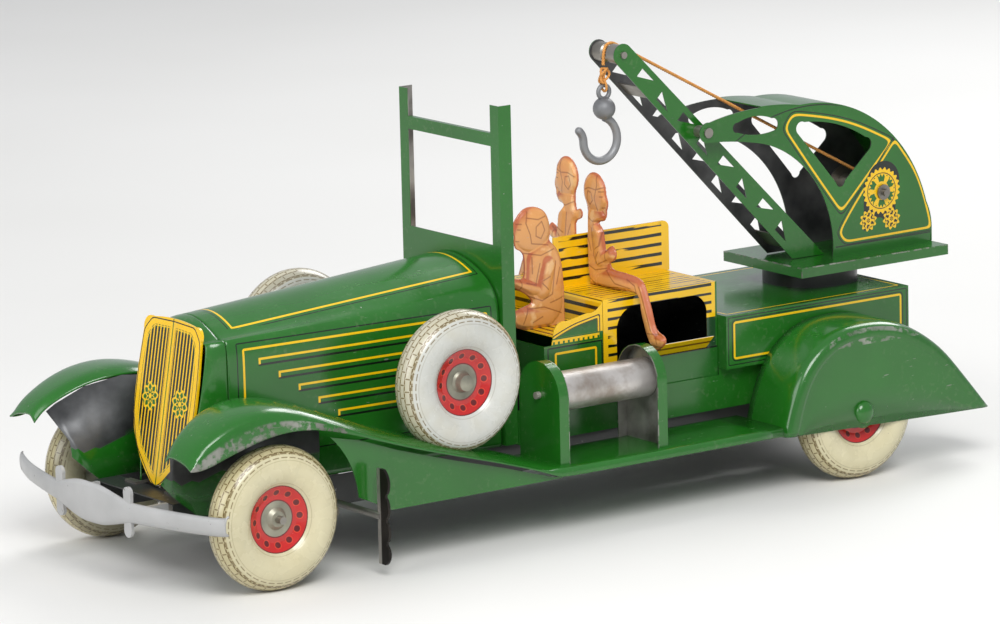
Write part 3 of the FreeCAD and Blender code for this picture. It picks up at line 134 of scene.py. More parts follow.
class Paint:
    """A material and the nodes that work out its colours from the place on the truck."""

    def __init__(self, name):
        self.material = bpy.data.materials.new(name)
        self.material.use_nodes = True
        self.tree = self.material.node_tree
        self.tree.nodes.clear()
        self.place = self.node("ShaderNodeTexCoord").outputs["Object"]
        parts = self.node("ShaderNodeSeparateXYZ", {}, {0: self.place})
        self.x = Field(self, parts.outputs[0]) * 1000 + AXLE_BACK
        self.y = Field(self, parts.outputs[1]) * 1000
        self.z = Field(self, parts.outputs[2]) * 1000

    def node(self, kind, settings=None, sockets=None):
        """A node of that type: its settings first, then the values or links of its sockets."""
        node = self.tree.nodes.new(kind)
        for name, value in (settings or {}).items():
            setattr(node, name, value)
        for name, value in (sockets or {}).items():
            if isinstance(value, Field):
                self.tree.links.new(value.socket, node.inputs[name])
            elif isinstance(value, bpy.types.NodeSocket):
                self.tree.links.new(value, node.inputs[name])
            elif isinstance(value, (tuple, list)) and len(value) == 3 and node.inputs[name].type == "RGBA":
                node.inputs[name].default_value = (*value, 1)
            else:
                node.inputs[name].default_value = value
        return node

    def maths(self, operation, *values, clamp=False):
        sockets = dict(enumerate(values))
        node = self.node("ShaderNodeMath", {"operation": operation, "use_clamp": clamp}, sockets)
        return Field(self, node.outputs[0])

    def mix(self, mask, first, second):
        """First colour where the mask is 0, second where it is 1."""
        node = self.node("ShaderNodeMix", {"data_type": "RGBA"}, {0: mask, 6: first, 7: second})
        return Field(self, node.outputs[2])

    def above(self, value, limit, soft=0.12):
        """1 where the value is over the limit, 0 below it."""
        return self.maths("MULTIPLY_ADD", value, 1 / soft, 0.5 - limit / soft, clamp=True)

    def below(self, value, limit, soft=0.12):
        return self.maths("MULTIPLY_ADD", value, -1 / soft, 0.5 + limit / soft, clamp=True)

    def between(self, value, low, high, soft=0.12):
        return self.below(abs(value - (low + high) / 2), (high - low) / 2, soft)

    def stripes(self, value, period, share, soft=0.06):
        """Even stripes: 1 over a share of each period, counted from value 0."""
        phase = self.maths("FRACT", value * (1 / period))
        return self.below(abs(phase - 0.5), share / 2, soft)

    def frame(self, u, v, low, high, radius=1.0):
        """Distance outside a rounded rectangle, negative inside."""
        half_u, half_v = (high[0] - low[0]) / 2 - radius, (high[1] - low[1]) / 2 - radius
        over_u = abs(u - (low[0] + high[0]) / 2) - half_u
        over_v = abs(v - (low[1] + high[1]) / 2) - half_v
        inside = self.maths("MINIMUM", over_u | over_v, 0)
        out_u, out_v = over_u | 0, over_v | 0
        return self.maths("SQRT", out_u * out_u + out_v * out_v) + inside - radius

    def corners(self, u, v, points, round_off=1.0):
        """Distance outside a convex outline given anticlockwise, negative inside."""
        distance = None
        for (u0, v0), (u1, v1) in zip(points, points[1:] + points[:1]):
            length = math.hypot(u1 - u0, v1 - v0)
            across, rise = (v1 - v0) / length, (u0 - u1) / length
            side = u * across + v * rise - (u0 * across + v0 * rise)
            distance = side if distance is None else self.maths("SMOOTH_MAX", distance, side, round_off)
        return distance

    def reach(self, u, v, centre_u, centre_v):
        """Distance from a point."""
        du, dv = u - centre_u, v - centre_v
        return self.maths("SQRT", du * du + dv * dv)

    def noise(self, scale, detail=2.0, stretch=None, rough=0.5):
        """Noise of that many features a metre, drawn out along an axis by a stretch."""
        place = self.place
        if stretch:
            place = self.node("ShaderNodeMapping", {}, {"Vector": place, "Scale": stretch}).outputs[0]
        node = self.node("ShaderNodeTexNoise", {}, {"Vector": place, "Scale": scale, "Detail": detail,
                                                    "Roughness": rough})
        return Field(self, node.outputs[0])

    def bump(self, height, distance):
        return self.node("ShaderNodeBump", {}, {"Distance": distance, "Height": height}).outputs[0]

    def done(self, colour, roughness=0.4, metallic=0.0, coat=0.0, normal=None):
        sockets = {"Base Color": colour, "Roughness": roughness, "Metallic": metallic, "Coat Weight": coat,
                   "Coat Roughness": 0.12}
        if normal is not None:
            sockets["Normal"] = normal
        shader = self.node("ShaderNodeBsdfPrincipled", {}, sockets)
        self.node("ShaderNodeOutputMaterial", {}, {0: shader.outputs[0]})
        return self.material


TIN_TONE, TIN_DARK = tint(178, 176, 170), tint(96, 93, 88)


def printed(paint, ground, layers=(), bare=None, wear=1.0, tin=(TIN_TONE, TIN_DARK), gloss=0.2, worn=None):
    """Lithographed tinplate: a glossy ground with printed layers, small chips down to the metal, rubbed
    edges and bare tin where nothing is printed."""
    cloud = paint.noise(22, 3)
    deep, light = tuple(0.84 * c for c in ground), tuple(min(1, 1.12 * c + 0.002) for c in ground)
    tone = paint.mix(paint.above(cloud, 0.5, 0.5), deep, light)
    for mask, colour in layers:
        tone = paint.mix(mask, tone, colour)
    dust = paint.above(paint.noise(420, 4), 0.62, 0.12) * paint.above(paint.noise(35, 2), 0.55, 0.2) * 0.1
    tone = paint.mix(dust, tone, tint(150, 150, 128))
    chips = paint.above(paint.noise(310, 5, rough=0.65), 0.76 - 0.018 * wear, 0.02)
    scratch = paint.above(paint.noise(120, 2, stretch=(1, 14, 7)), 0.765 - 0.01 * wear, 0.02) * 0.6
    metal = chips | scratch
    if worn is not None:
        metal = metal | worn * paint.above(paint.noise(240, 4, rough=0.6), 0.5, 0.12)
    metal = metal * 0.85
    if bare is not None:
        metal = metal | bare
    stain = paint.mix(paint.above(paint.noise(60, 5), 0.5, 0.3), tin[1], tin[0])
    tone = paint.mix(metal, tone, stain)
    roughness = paint.noise(160, 3) * 0.16 + (gloss - 0.07) + metal * 0.2
    normal = paint.bump(paint.noise(700, 3) * 0.4 + cloud - metal * 0.4, 0.00006)
    return paint.done(tone, roughness, metal * 0.55, 0.4 - metal * 0.35, normal)


def line_pair(paint, distance, colours, gap, where=None):
    """Yellow pinstripe on distance 0 with a thin black line outside it."""
    half = colours.stripe / 2
    yellow = paint.between(distance, -half, half)
    black = paint.between(distance, gap, gap + THIN_LINE)
    if where is not None:
        yellow, black = yellow * where, black * where
    return [(black, tuple(colours.black)), (yellow, tuple(colours.yellow))]


def plain_green(name, colours, bare=None, layers=None, wear=1.0, worn=None, tin=(TIN_TONE, TIN_DARK)):
    """Green tinplate; its layers, bare metal and rubbed edges are worked out from the paint."""
    paint = Paint(name)
    masks = layers(paint, colours) if layers else []
    return printed(paint, tuple(colours.green), masks, bare(paint) if bare else None, wear, tin,
                   worn=worn(paint) if worn else None)


def box_marks(paint, colours):
    """Pinstripe frames on the sides, the ends and the top of the crane box."""
    on_side = paint.above(abs(paint.y), 40.7)
    on_end = paint.below(paint.x, -47.7) * paint.below(abs(paint.y), 40.5)
    on_top = paint.above(paint.z, 75.2)
    side = paint.frame(paint.x, paint.z, (-44.0, 56.3), (48.6, 72.0), 0.9)
    end = paint.frame(paint.y, paint.z, (-37.0, 56.3), (37.0, 72.0), 0.9)
    rim = paint.frame(paint.x, paint.z, (-47.3, 53.6), (51.8, 74.3), 0.6)
    top = paint.frame(paint.x, paint.y, (-45.5, -37.5), (50.0, 37.5), 1.0)
    layers = line_pair(paint, side, colours, 0.9, on_side) + line_pair(paint, end, colours, 0.9, on_end)
    layers += line_pair(paint, top, colours, 0.9, on_top)
    layers.append((paint.between(rim, -0.2, 0.25) * on_side, tuple(colours.black)))
    return layers


def bonnet_marks(paint, colours):
    """Pinstripe frames on the bonnet's top and sides, and the long louvre lines."""
    yellow, black = tuple(colours.yellow), tuple(colours.black)
    half = colours.stripe / 2
    top_zone = paint.above(paint.z, 99.5, 0.4)
    top = paint.corners(paint.x, paint.y, [(172.5, -20.8), (290.5, -17.3), (290.5, 17.3), (172.5, 20.8)], 0.6)
    layers = line_pair(paint, top, colours, 1.7, top_zone)
    side_zone = paint.below(paint.z, 96.5, 0.4)
    edge = paint.frame(paint.x, paint.z, (174.0, 50.0), (292.0, 92.3), 0.6)
    outer = paint.frame(paint.x, paint.z, (171.6, 47.0), (295.0, 95.0), 0.6)
    low_zone = side_zone * paint.above(paint.z, 56.0, 0.4)
    layers.append((paint.between(outer, -0.25, 0.25) * side_zone, black))
    layers.append((paint.between(edge, -half, half) * low_zone, yellow))
    for rank in range(5):
        front, height = 285.0 - 9.3 * rank, 87.6 - 6.65 * rank
        run = paint.below(paint.x, front, 0.3) * paint.above(paint.x, 178.0, 0.3) * side_zone
        layers.append((paint.between(paint.z, height - 2.9, height - 2.0) * run, black))
        layers.append((paint.between(paint.z, height - half, height + half) * run, yellow))
        hook = paint.between(paint.x, front - 1.0, front) * paint.between(paint.z, height - 2.2, height)
        layers.append((hook * side_zone, yellow))
    return layers


def grille_marks(paint, colours):
    """Yellow border, middle rib and thin bars, with a plain rosette on each half."""
    green, yellow, black = tuple(colours.green), tuple(colours.yellow), tuple(colours.black)
    u, v = abs(paint.y), (paint.z - 34.6) * 1.0154
    edge = paint.corners(u, v, [(-9, 1.0), (2.6, 4.2), (14.9, 15.6), (19.2, 27.5), (19.8, 46.0), (18.4, 61.0),
                                (14.2, 66.0), (-9, 66.8)], 1.6)
    rim = paint.corners(u, v, [(-9, -3.0), (3.2, 1.0), (17.2, 14.2), (22.2, 27), (22.6, 46), (21.1, 63),
                               (16, 68.4), (-9, 69.2)], 2.0)
    field = paint.below(edge, -0.2) * paint.above(u, 2.0)
    line = paint.between(edge, -0.9, -0.5) | paint.between(u, 2.5, 2.8)
    bars = paint.stripes(u - 2.95, 2.36, 0.36, 0.1)
    layers = [(field, black), (field * paint.above(edge, -1.4) * 0.6, green), (field * bars, yellow),
              (field * line, yellow), (paint.below(u, 0.32), green), (paint.between(rim, -0.5, 0.0), black)]
    reach = paint.reach(u, v, 11.2, 36.0)
    turn = paint.maths("ARCTAN2", v - 36.0, u - 11.2)
    petals = paint.maths("SINE", turn * 8) * 0.7
    return layers + [(paint.below(reach, 5.6), green), (paint.between(reach + petals, 4.3, 5.4), yellow),
                     (paint.between(reach - petals, 2.1, 3.0), yellow), (paint.below(reach, 1.1), yellow)]


def bench_marks(paint, colours):
    """Yellow slats with broken dark gaps on the seat, the front and the backrest, green strips at the ends
    and near-black painted shade on the inside faces under the seat."""
    green, black = tuple(colours.green), tuple(colours.black)
    x, y, z = paint.x, abs(paint.y), paint.z
    wander = paint.noise(55, 2) * 0.5 - 0.25
    breaks = paint.below(paint.noise(95, 2, stretch=(0.5, 3, 3)), 0.6, 0.04)
    back, front = BENCH_BACK, BENCH_FRONT
    ends = paint.between(x, back + 2.6, front - 2.2)
    top = paint.between(z, 89.7, 90.3) * paint.above(y, 2.0)
    seat_gap = paint.stripes(y + wander, 3.55, 0.27) * ends * breaks
    rest = paint.above(z, 90.25)
    rest_gap = (paint.stripes(z + wander - 91.2, 4.3, 0.34) * breaks
                * paint.between(x, back + 3.0, front - 2.6))
    side = paint.between(y, 34.75, 35.25)
    front_gap = paint.stripes(z + wander * 0.6 - 1.3, 3.9, 0.34) * paint.between(x, back + 2.8, front - 2.4)
    low, edge = paint.below(z, 74.8), paint.below(x, back + 6.4)
    # Painted shade: the inside faces under the seat and in the arch are coloured near-black where shade
    # falls.
    inner = paint.below(z, 89.72) * (1 - side) * paint.below(y, 35.1)
    flap = paint.above(y, 35.25)
    under = flap * paint.stripes(y + 0.6, 3.4, 0.3)
    return [(top * seat_gap, black), (rest * rest_gap, black), (side * front_gap * breaks, black),
            (side * low * edge, tint(22, 62, 30)), (side * paint.below(x, back + 0.9), green),
            (side * paint.below(z, 61.2), green), (side * paint.between(z, 61.2, 62.0), black),
            (side * paint.below(z, 61.2) * paint.above(paint.noise(18, 2), 0.5, 0.3) * 0.5, tint(20, 78, 26)),
            (inner, tint(12, 14, 14)), (under, tint(130, 84, 14)),
            (flap * paint.above(z - y, 26.85), TIN_TONE)]


def tub_marks(paint, colours):
    """Slatted seat, side panel with a double scroll and a fringe, and a framed panel below."""
    yellow, green, black = tuple(colours.yellow), tuple(colours.green), tuple(colours.black)
    x, y, z = paint.x, abs(paint.y), paint.z
    side = paint.above(y, 34.75)
    inside = paint.below(y, 34.7)
    floor = inside * paint.between(z, 77.4, 78.4)
    gaps = paint.stripes(x, 4.4, 0.34)
    rests = inside * paint.above(z, 78.5)
    shelves = paint.stripes(z, 4.2, 0.4)
    curl = paint.corners(x, z, [(115.0, 73.9), (143.9, 73.9), (141.2, 81.0), (132.0, 82.6), (121.5, 86.6),
                                (115.0, 89.0)], 1.6)
    panel = paint.below(curl, -2.6) * paint.above(z, 76.9)
    fringe = paint.stripes(x, 2.6, 0.6) * paint.between(z, 74.3, 75.6) | paint.between(z, 75.4, 76.3)
    low = paint.frame(x, z, (118.4, 57.5), (139.6, 70.2), 0.5)
    rim = paint.frame(x, z, (115.2, 54.0), (143.6, 72.8), 0.5)
    return [(floor, yellow), (floor * gaps, black), (rests, yellow), (rests * shelves, black),
            (side * paint.above(z, 73.4), yellow), (side * paint.between(curl, -1.4, -0.9), black),
            (side * paint.between(curl, -2.6, -2.2), black), (side * panel, green),
            (side * panel * paint.above(z, 80.5, 6.0) * 0.6, black),
            (side * paint.between(z, 73.4, 76.9), green),
            (side * fringe * paint.between(x, 116.4, 143.2), yellow),
            (side * paint.between(low, -0.5, 0.5), yellow), (side * paint.between(rim, -0.3, 0.3), black),
            (paint.below(z, 60) * inside, tint(40, 44, 42))]


def cab_marks(paint, colours):
    """Black edge lines, two rounded pinstripe frames and a printed train of gears on the cab side."""
    yellow, green, black = tuple(colours.yellow), tuple(colours.green), tuple(colours.black)
    x, z = paint.x, paint.z
    window = paint.corners(x, z, [(-31.3, 107.0), (-14.3, 128.0), (-0.3, 147.5), (-5.0, 153.8),
                                  (-16.3, 152.4), (-40.0, 145.8), (-60.5, 135.2)], 5.0)
    panel = paint.corners(x, z, [(-82.6, 93.7), (-33.4, 93.4), (-30.2, 98.0), (-33.4, 103.2), (-62.3, 135.4),
                                 (-74.2, 120.0), (-81.6, 100.2)], 4.0)
    layers = [(paint.between(z, 91.3, 91.8) * paint.below(x, -28.0), black)]
    roof_line = paint.reach(x, z, -14.0, 76.2)
    layers.append((paint.between(roof_line, 79.9, 80.4) * paint.above(z, 118.0) * paint.above(x, -60.0),
                   black))
    layers += line_pair(paint, window, colours, 1.2) + line_pair(paint, panel, colours, 1.2)
    arch = paint.below(abs(x + 53.2), 9.0) * paint.between(z, 96.8, 118) | paint.below(
        paint.reach(x, z, -55.4, 117.6), 9.2)
    layers += [(arch, black), (paint.below(paint.reach(x, z, -52.6, 98.2), 3.6), green)]
    for centre_x, centre_z, radius, teeth in ((-46.7, 101.1, 4.3, 10), (-59.9, 100.4, 4.4, 10),
                                              (-54.4, 113.6, 9.9, 24)):
        reach = paint.reach(x, z, centre_x, centre_z)
        turn = paint.maths("ARCTAN2", z - centre_z, x - centre_x)
        wave = paint.maths("SINE", turn * teeth) * 0.55
        spokes = paint.above(paint.maths("COSINE", turn * 6), 0.35, 0.2) * paint.below(reach, 0.7 * radius)
        layers += [(paint.below(reach, 0.74 * radius), green if radius > 6 else black),
                   (paint.between(reach + wave, radius * 0.70, radius), yellow),
                   (paint.between(reach, radius * 0.78, radius * 0.82), black), (spokes, yellow),
                   (paint.between(reach, 0.24 * radius, 0.42 * radius), yellow)]
    return layers


def tyre_marks(paint, centre_x, centre_z, track, wide):
    """Rows of bricks on the tread, drawn by brown dashes, and faint rings of sidewall relief."""
    reach = paint.reach(paint.x, paint.z, centre_x, centre_z)
    turn = paint.maths("ARCTAN2", paint.z - centre_z, paint.x - centre_x) * (1 / (2 * math.pi)) + 0.5
    across = abs(paint.y) - track
    band = across * (1 / 2.1) + 10.5
    row = paint.maths("FLOOR", band)
    share = abs(paint.maths("FRACT", band) - 0.5)
    offset = paint.maths("FRACT", row * 0.5)
    line = paint.above(share, 0.39, 0.06) * paint.stripes(turn * 34 + offset, 1.0, 0.8, 0.05)
    joint = paint.stripes(turn * 34 + offset + 0.5, 1.0, 0.1, 0.06) * paint.below(share, 0.4)
    tread = paint.above(reach, wide - 3.0, 0.4) * paint.below(across, 6.2)
    outer = (paint.between(reach, wide - 4.3, wide - 3.9) | paint.between(reach, wide - 2.9, wide - 2.4)) \
        * paint.stripes(turn * 40, 1.0, 0.72, 0.05)
    brown = tint(104, 86, 46)
    ring = paint.between(reach, wide - 5.4, wide - 5.1) | paint.between(reach, 15.0, 15.3)
    grime = paint.above(paint.noise(90, 4), 0.55, 0.25) * 0.2
    return [(grime, tint(170, 158, 116)), (tread * 0.45, tint(176, 162, 112)), (tread * line, brown),
            (tread * joint * 0.9, brown), (outer * 0.8, brown), (ring * 0.3, brown),
            (paint.below(across, -3.0, 1.0) * 0.4, tint(120, 118, 108))]


def disc_marks(paint, centre_x, centre_z):
    """Ring of darker ovals between thin circles."""
    reach = paint.reach(paint.x, paint.z, centre_x, centre_z)
    turn = paint.maths("ARCTAN2", paint.z - centre_z, paint.x - centre_x) * (6 / math.pi)
    share = paint.maths("FRACT", turn + 0.5) - 0.5
    oval = share * share * 11 + (reach - 10.9) * (reach - 10.9) * 0.42
    dark = tint(92, 8, 12)
    return [(paint.between(oval, 0.5, 0.95, 0.2), tint(214, 60, 34)), (paint.below(oval, 0.6, 0.3), dark),
            (paint.between(reach, 7.4, 7.9), dark), (paint.between(reach, 13.6, 14.0), dark)]


def bare_metal(name, light, dark, roughness=0.34, grain=(1, 1, 1), stain=None, metallic=0.9, edge=None):
    """Bare tin or steel, a little stained and brushed; an edge is a zone with a light rubbed surface."""
    paint = Paint(name)
    cloud = paint.noise(45, 4)
    lines = paint.noise(260, 3, stretch=grain)
    tone = paint.mix(paint.above(cloud, 0.5, 0.5), dark, light)
    if stain:
        tone = paint.mix(paint.above(paint.noise(28, 5, rough=0.7), 0.55, 0.14) * 0.75, tone, stain)
    if edge:
        tone = paint.mix(edge(paint), tone, tint(196, 192, 186))
    return paint.done(tone, lines * 0.25 + (roughness - 0.12), metallic, 0.0, paint.bump(lines, 0.00005))


def satin(name, colour, chips=None):
    """Satin paint with faint brush marks and chips."""
    paint = Paint(name)
    tone = paint.mix(paint.above(paint.noise(40, 3), 0.5, 0.5), tuple(0.75 * c for c in colour), colour)
    worn = paint.above(paint.noise(260, 5, rough=0.65), 0.69, 0.03)
    tone = paint.mix(worn, tone, chips or TIN_TONE)
    return paint.done(tone, paint.noise(150, 3) * 0.25 + 0.3, worn * 0.8, 0.12,
                      paint.bump(paint.noise(500, 3), 0.00006))


def wear_material(material, *names):
    """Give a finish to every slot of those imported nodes."""
    for name in names:
        slots = NODES[name].material_slots
        for index in range(len(slots)):
            slots[index].material = material


# ---------------------------------------------------------------- mesh helpers

def keep_piece(name, mesh, material, body, replaces=(), smooth_angle=40):
    """Object from a finished bmesh, with normals outward, riding on a body."""
    data = bpy.data.meshes.new(name)
    mesh.to_mesh(data)
    mesh.free()
    piece = bpy.data.objects.new(name, data)
    bpy.context.scene.collection.objects.link(piece)
    data.materials.append(material)
    for face in data.polygons:
        face.use_smooth = True
    data.set_sharp_from_angle(angle=math.radians(smooth_angle))
    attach(piece, body)
    if replaces:
        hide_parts(*replaces)
    return piece


def loft(rings):
    """Skin through open rings of points, given as (station, y, z)."""
    mesh = bmesh.new()
    loops = []
    for ring in rings:
        verts = [mesh.verts.new(spot(*point)) for point in ring]
        loops.append([mesh.edges.new(pair) for pair in zip(verts, verts[1:])])
    for first, second in zip(loops, loops[1:]):
        bmesh.ops.bridge_loops(mesh, edges=first + second)
    return mesh


def crease_rim(mesh):
    """Keep the rim of a skin sharp through the subdivision that follows."""
    layer = mesh.edges.layers.float.new("crease_edge")
    for edge in mesh.edges:
        if edge.is_boundary:
            edge[layer] = 1.0


def thicken(piece, thickness, levels):
    """Subdivide a skin and give it the thickness of tinplate, inward."""
    if levels:
        smooth = piece.modifiers.new("smooth", "SUBSURF")
        smooth.levels = smooth.render_levels = levels
    wall = piece.modifiers.new("wall", "SOLIDIFY")
    wall.thickness, wall.offset, wall.use_even_offset = thickness / 1000, -1, True


def outward(mesh, middle=None):
    """Recalculate the normals, then turn an open skin to face away from a point."""
    bmesh.ops.recalc_face_normals(mesh, faces=mesh.faces)
    if middle is not None:
        away = sum((face.normal.dot(face.calc_center_median() - middle) * face.calc_area()
                    for face in mesh.faces), 0.0)
        if away < 0:
            bmesh.ops.reverse_faces(mesh, faces=mesh.faces)
    return mesh


def pressing(name, rings, middle, material, levels, hides=(), thickness=TIN, rim=True):
    """Tinplate pressing: a skin through rings of points that faces away from its middle."""
    mesh = outward(loft(rings), middle)
    if rim:
        crease_rim(mesh)
    thicken(keep_piece(name, mesh, material, "truck", hides), thickness, levels)


def eased(points, steps):
    """Points along a smooth curve that passes through each given point."""
    result = []
    for rank in range(len(points) - 1):
        before = points[max(rank - 1, 0)]
        here, there = points[rank], points[rank + 1]
        after = points[min(rank + 2, len(points) - 1)]
        for step in range(steps):
            t = step / steps
            result.append(tuple(
                0.5 * (2 * b + (c - a) * t + (2 * a - 5 * b + 4 * c - d) * t * t
                       + (3 * b - a - 3 * c + d) * t ** 3)
                for a, b, c, d in zip(before, here, there, after)))
    return result + [tuple(points[-1])]


def look():
    return bpy.context.scene.crane_truck


# ---------------------------------------------------------------- pieces

class TRUCK_OT_stage(bpy.types.Operator):
    """Pale floor, soft studio light and the camera"""
    bl_idname = "truck.stage"
    bl_label = "Stage"

    def execute(self, context):
        scene = context.scene
        paint = Paint("floor_paper")
        cloud = paint.noise(3, 2)
        tone = paint.mix(cloud, tint(222, 221, 217), tint(232, 231, 228))
        paper = paint.done(tone, paint.noise(200, 2) * 0.1 + 0.7,
                           normal=paint.bump(paint.noise(900, 2), 0.00003))
        mesh = bmesh.new()
        profile = [mesh.verts.new(Vector((-2.6, -3.4, 0.0))), mesh.verts.new(Vector((-2.6, 3.4, 0.0)))]
        edge = mesh.edges.new(profile)
        grown = bmesh.ops.extrude_edge_only(mesh, edges=[edge])["geom"]
        bmesh.ops.translate(mesh, verts=[g for g in grown if isinstance(g, bmesh.types.BMVert)],
                            vec=Vector((6.0, 0, 0)))
        bmesh.ops.recalc_face_normals(mesh, faces=mesh.faces)
        if mesh.faces[:][0].normal.z < 0:
            bmesh.ops.reverse_faces(mesh, faces=mesh.faces)
        data = bpy.data.meshes.new("floor")
        mesh.to_mesh(data)
        mesh.free()
        floor = bpy.data.objects.new("floor", data)
        data.materials.append(paper)
        scene.collection.objects.link(floor)
        world = bpy.data.worlds.new("studio")
        world.use_nodes = True
        world.node_tree.nodes["Background"].inputs[0].default_value = (0.93, 0.95, 1.0, 1)
        world.node_tree.nodes["Background"].inputs[1].default_value = 0.55
        scene.world = world
        scene.view_settings.view_transform = "Standard"
        aim = Vector((0.0, 0.0, 0.07))
        lamps = (("key", (0.55, 1.05, 1.25), 0.95, 20), ("fill", (1.6, 0.2, 0.75), 1.1, 9),
                 ("rim", (-1.2, -0.6, 1.1), 0.9, 12))
        for name, place, size, power in lamps:
            lamp = bpy.data.lights.new(name, "AREA")
            lamp.shape, lamp.size, lamp.energy = "DISK", size, power
            holder = bpy.data.objects.new(name, lamp)
            holder.location = place
            holder.rotation_euler = (aim - Vector(place)).to_track_quat("-Z", "Y").to_euler()
            scene.collection.objects.link(holder)
        turn, lift, roll = math.radians(144.42), math.radians(11.41), math.radians(-1.37)
        back = Vector((math.sin(turn) * math.cos(lift), -math.cos(turn) * math.cos(lift), math.sin(lift)))
        right = Vector((math.cos(turn), math.sin(turn), 0))
        up = back.cross(right)
        level = right * math.cos(roll) + up * math.sin(roll)
        upright = up * math.cos(roll) - right * math.sin(roll)
        lens = bpy.data.cameras.new("camera")
        lens.sensor_width, lens.lens = 36.0, 216.29
        lens.clip_start, lens.clip_end = 0.1, 30.0
        camera = bpy.data.objects.new("camera", lens)
        place = spot(1603.6, 2041.7, 590.2)
        camera.matrix_world = Matrix((
            (level.x, upright.x, back.x, place.x), (level.y, upright.y, back.y, place.y),
            (level.z, upright.z, back.z, place.z), (0, 0, 0, 1)))
        scene.collection.objects.link(camera)
        scene.camera = camera
        return {"FINISHED"}


# Route of the hoisting cord: stations and heights of its corners, then the knot.
CORD = ((-57.7, 118.3), (-52.4, 121.2), (76.5, 190.7), (81.5, 193.4), (85.5, 190.9), (85.5, 183.6))


class TRUCK_OT_cord(bpy.types.Operator):
    """Twisted hoisting cord with its knot and loop"""
    bl_idname = "truck.cord"
    bl_label = "Cord and knot"

    def execute(self, context):
        size = look().cord_width
        data = bpy.data.curves.new("route", "CURVE")
        data.dimensions = "3D"
        spline = data.splines.new("NURBS")
        spline.points.add(len(CORD) - 1)
        for point, (station, z) in zip(spline.points, CORD):
            point.co = (*spot(station, 0, z), 1)
        spline.order_u = 3
        spline.use_endpoint_u = True
        spline.resolution_u = 24
        route = bpy.data.objects.new("route", data)
        bpy.context.scene.collection.objects.link(route)
        context.view_layer.update()
        line = bpy.data.meshes.new_from_object(route)
        points = [vertex.co.copy() for vertex in line.vertices]
        bpy.data.objects.remove(route)
        bpy.data.meshes.remove(line)
        cotton = self.cotton()
        rope = self.strands(even(points, 0.0007), size)
        piece = keep_piece("hoist_cord_rope", rope, cotton, "crane", ["hoist_cord"], 80)
        self.knot(cotton, size)
        return {"FINISHED"}

    def cotton(self):
        paint = Paint("cord_cotton")
        colour = tuple(look().cord)
        tone = paint.mix(paint.noise(500, 3), tuple(0.55 * c for c in colour), colour)
        fibre = paint.noise(2600, 2)
        tone = paint.mix(paint.above(fibre, 0.55, 0.2) * 0.5, tone, tint(240, 190, 110))
        return paint.done(tone, 0.85, normal=paint.bump(fibre, 0.0001))

    def strands(self, points, size, turns_per_metre=260):
        """Mesh of three strands twisted round a line of points."""
        mesh = bmesh.new()
        thick = size * 0.29
        for strand in range(3):
            walked, rings = 0.0, []
            for rank, point in enumerate(points):
                ahead = points[min(rank + 1, len(points) - 1)] - points[max(rank - 1, 0)]
                ahead.normalize()
                if rank:
                    walked += (point - points[rank - 1]).length
                side = ahead.cross(Vector((0, 1, 0))).normalized()
                other = ahead.cross(side)
                angle = 2 * math.pi * (strand / 3 + walked * turns_per_metre)
                centre = point + (side * math.cos(angle) + other * math.sin(angle)) * (size / 2 - thick)
                ring = []
                for step in range(6):
                    around = math.pi * step / 3
                    ring.append(mesh.verts.new(centre + (side * math.cos(around)
                                                         + other * math.sin(around)) * thick))
                rings.append([mesh.edges.new(pair) for pair in zip(ring, ring[1:] + ring[:1])])
            for first, second in zip(rings, rings[1:]):
                bmesh.ops.bridge_loops(mesh, edges=first + second)
        bmesh.ops.holes_fill(mesh, edges=[edge for edge in mesh.edges if edge.is_boundary])
        bmesh.ops.recalc_face_normals(mesh, faces=mesh.faces)
        return mesh

    def knot(self, cotton, size):
        """Overhand lump and the loop through the hook's eye."""
        low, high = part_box("cord_knot")
        middle = (low + high) / 2
        steps = 150
        points = []
        for rank in range(steps + 1):
            t = 2 * math.pi * rank / steps
            points.append(Vector((middle.x + 0.0017 * math.sin(2 * t) + 0.0004 * math.sin(5 * t),
                                  middle.y + 0.0016 * math.cos(3 * t),
                                  high.z - 0.0045 + 0.0030 * math.cos(2 * t + 0.6))))
        loop_low = low.z + 0.0022
        for rank in range(61):
            t = 2 * math.pi * rank / 60 + math.pi / 2
            points.append(Vector((middle.x + 0.0004 * math.sin(t), middle.y + 0.0019 * math.cos(t),
                                  loop_low + 0.0005 + 0.0026 * math.sin(t))))
        rope = self.strands(even(points, 0.0006), size * 0.8, 300)
        return keep_piece("cord_knot_rope", rope, cotton, "crane", ["cord_knot"], 80)


def even(points, step):
    """The same line with points at an even step."""
    result, carried = [points[0].copy()], 0.0
    for here, there in zip(points, points[1:]):
        length = (there - here).length
        while carried + length >= step and length > 0:
            here = here + (there - here) * ((step - carried) / length)
            result.append(here.copy())
            length = (there - here).length
            carried = 0.0
        carried += length
    if (points[-1] - result[-1]).length > step * 0.2:
        result.append(points[-1].copy())
    return result


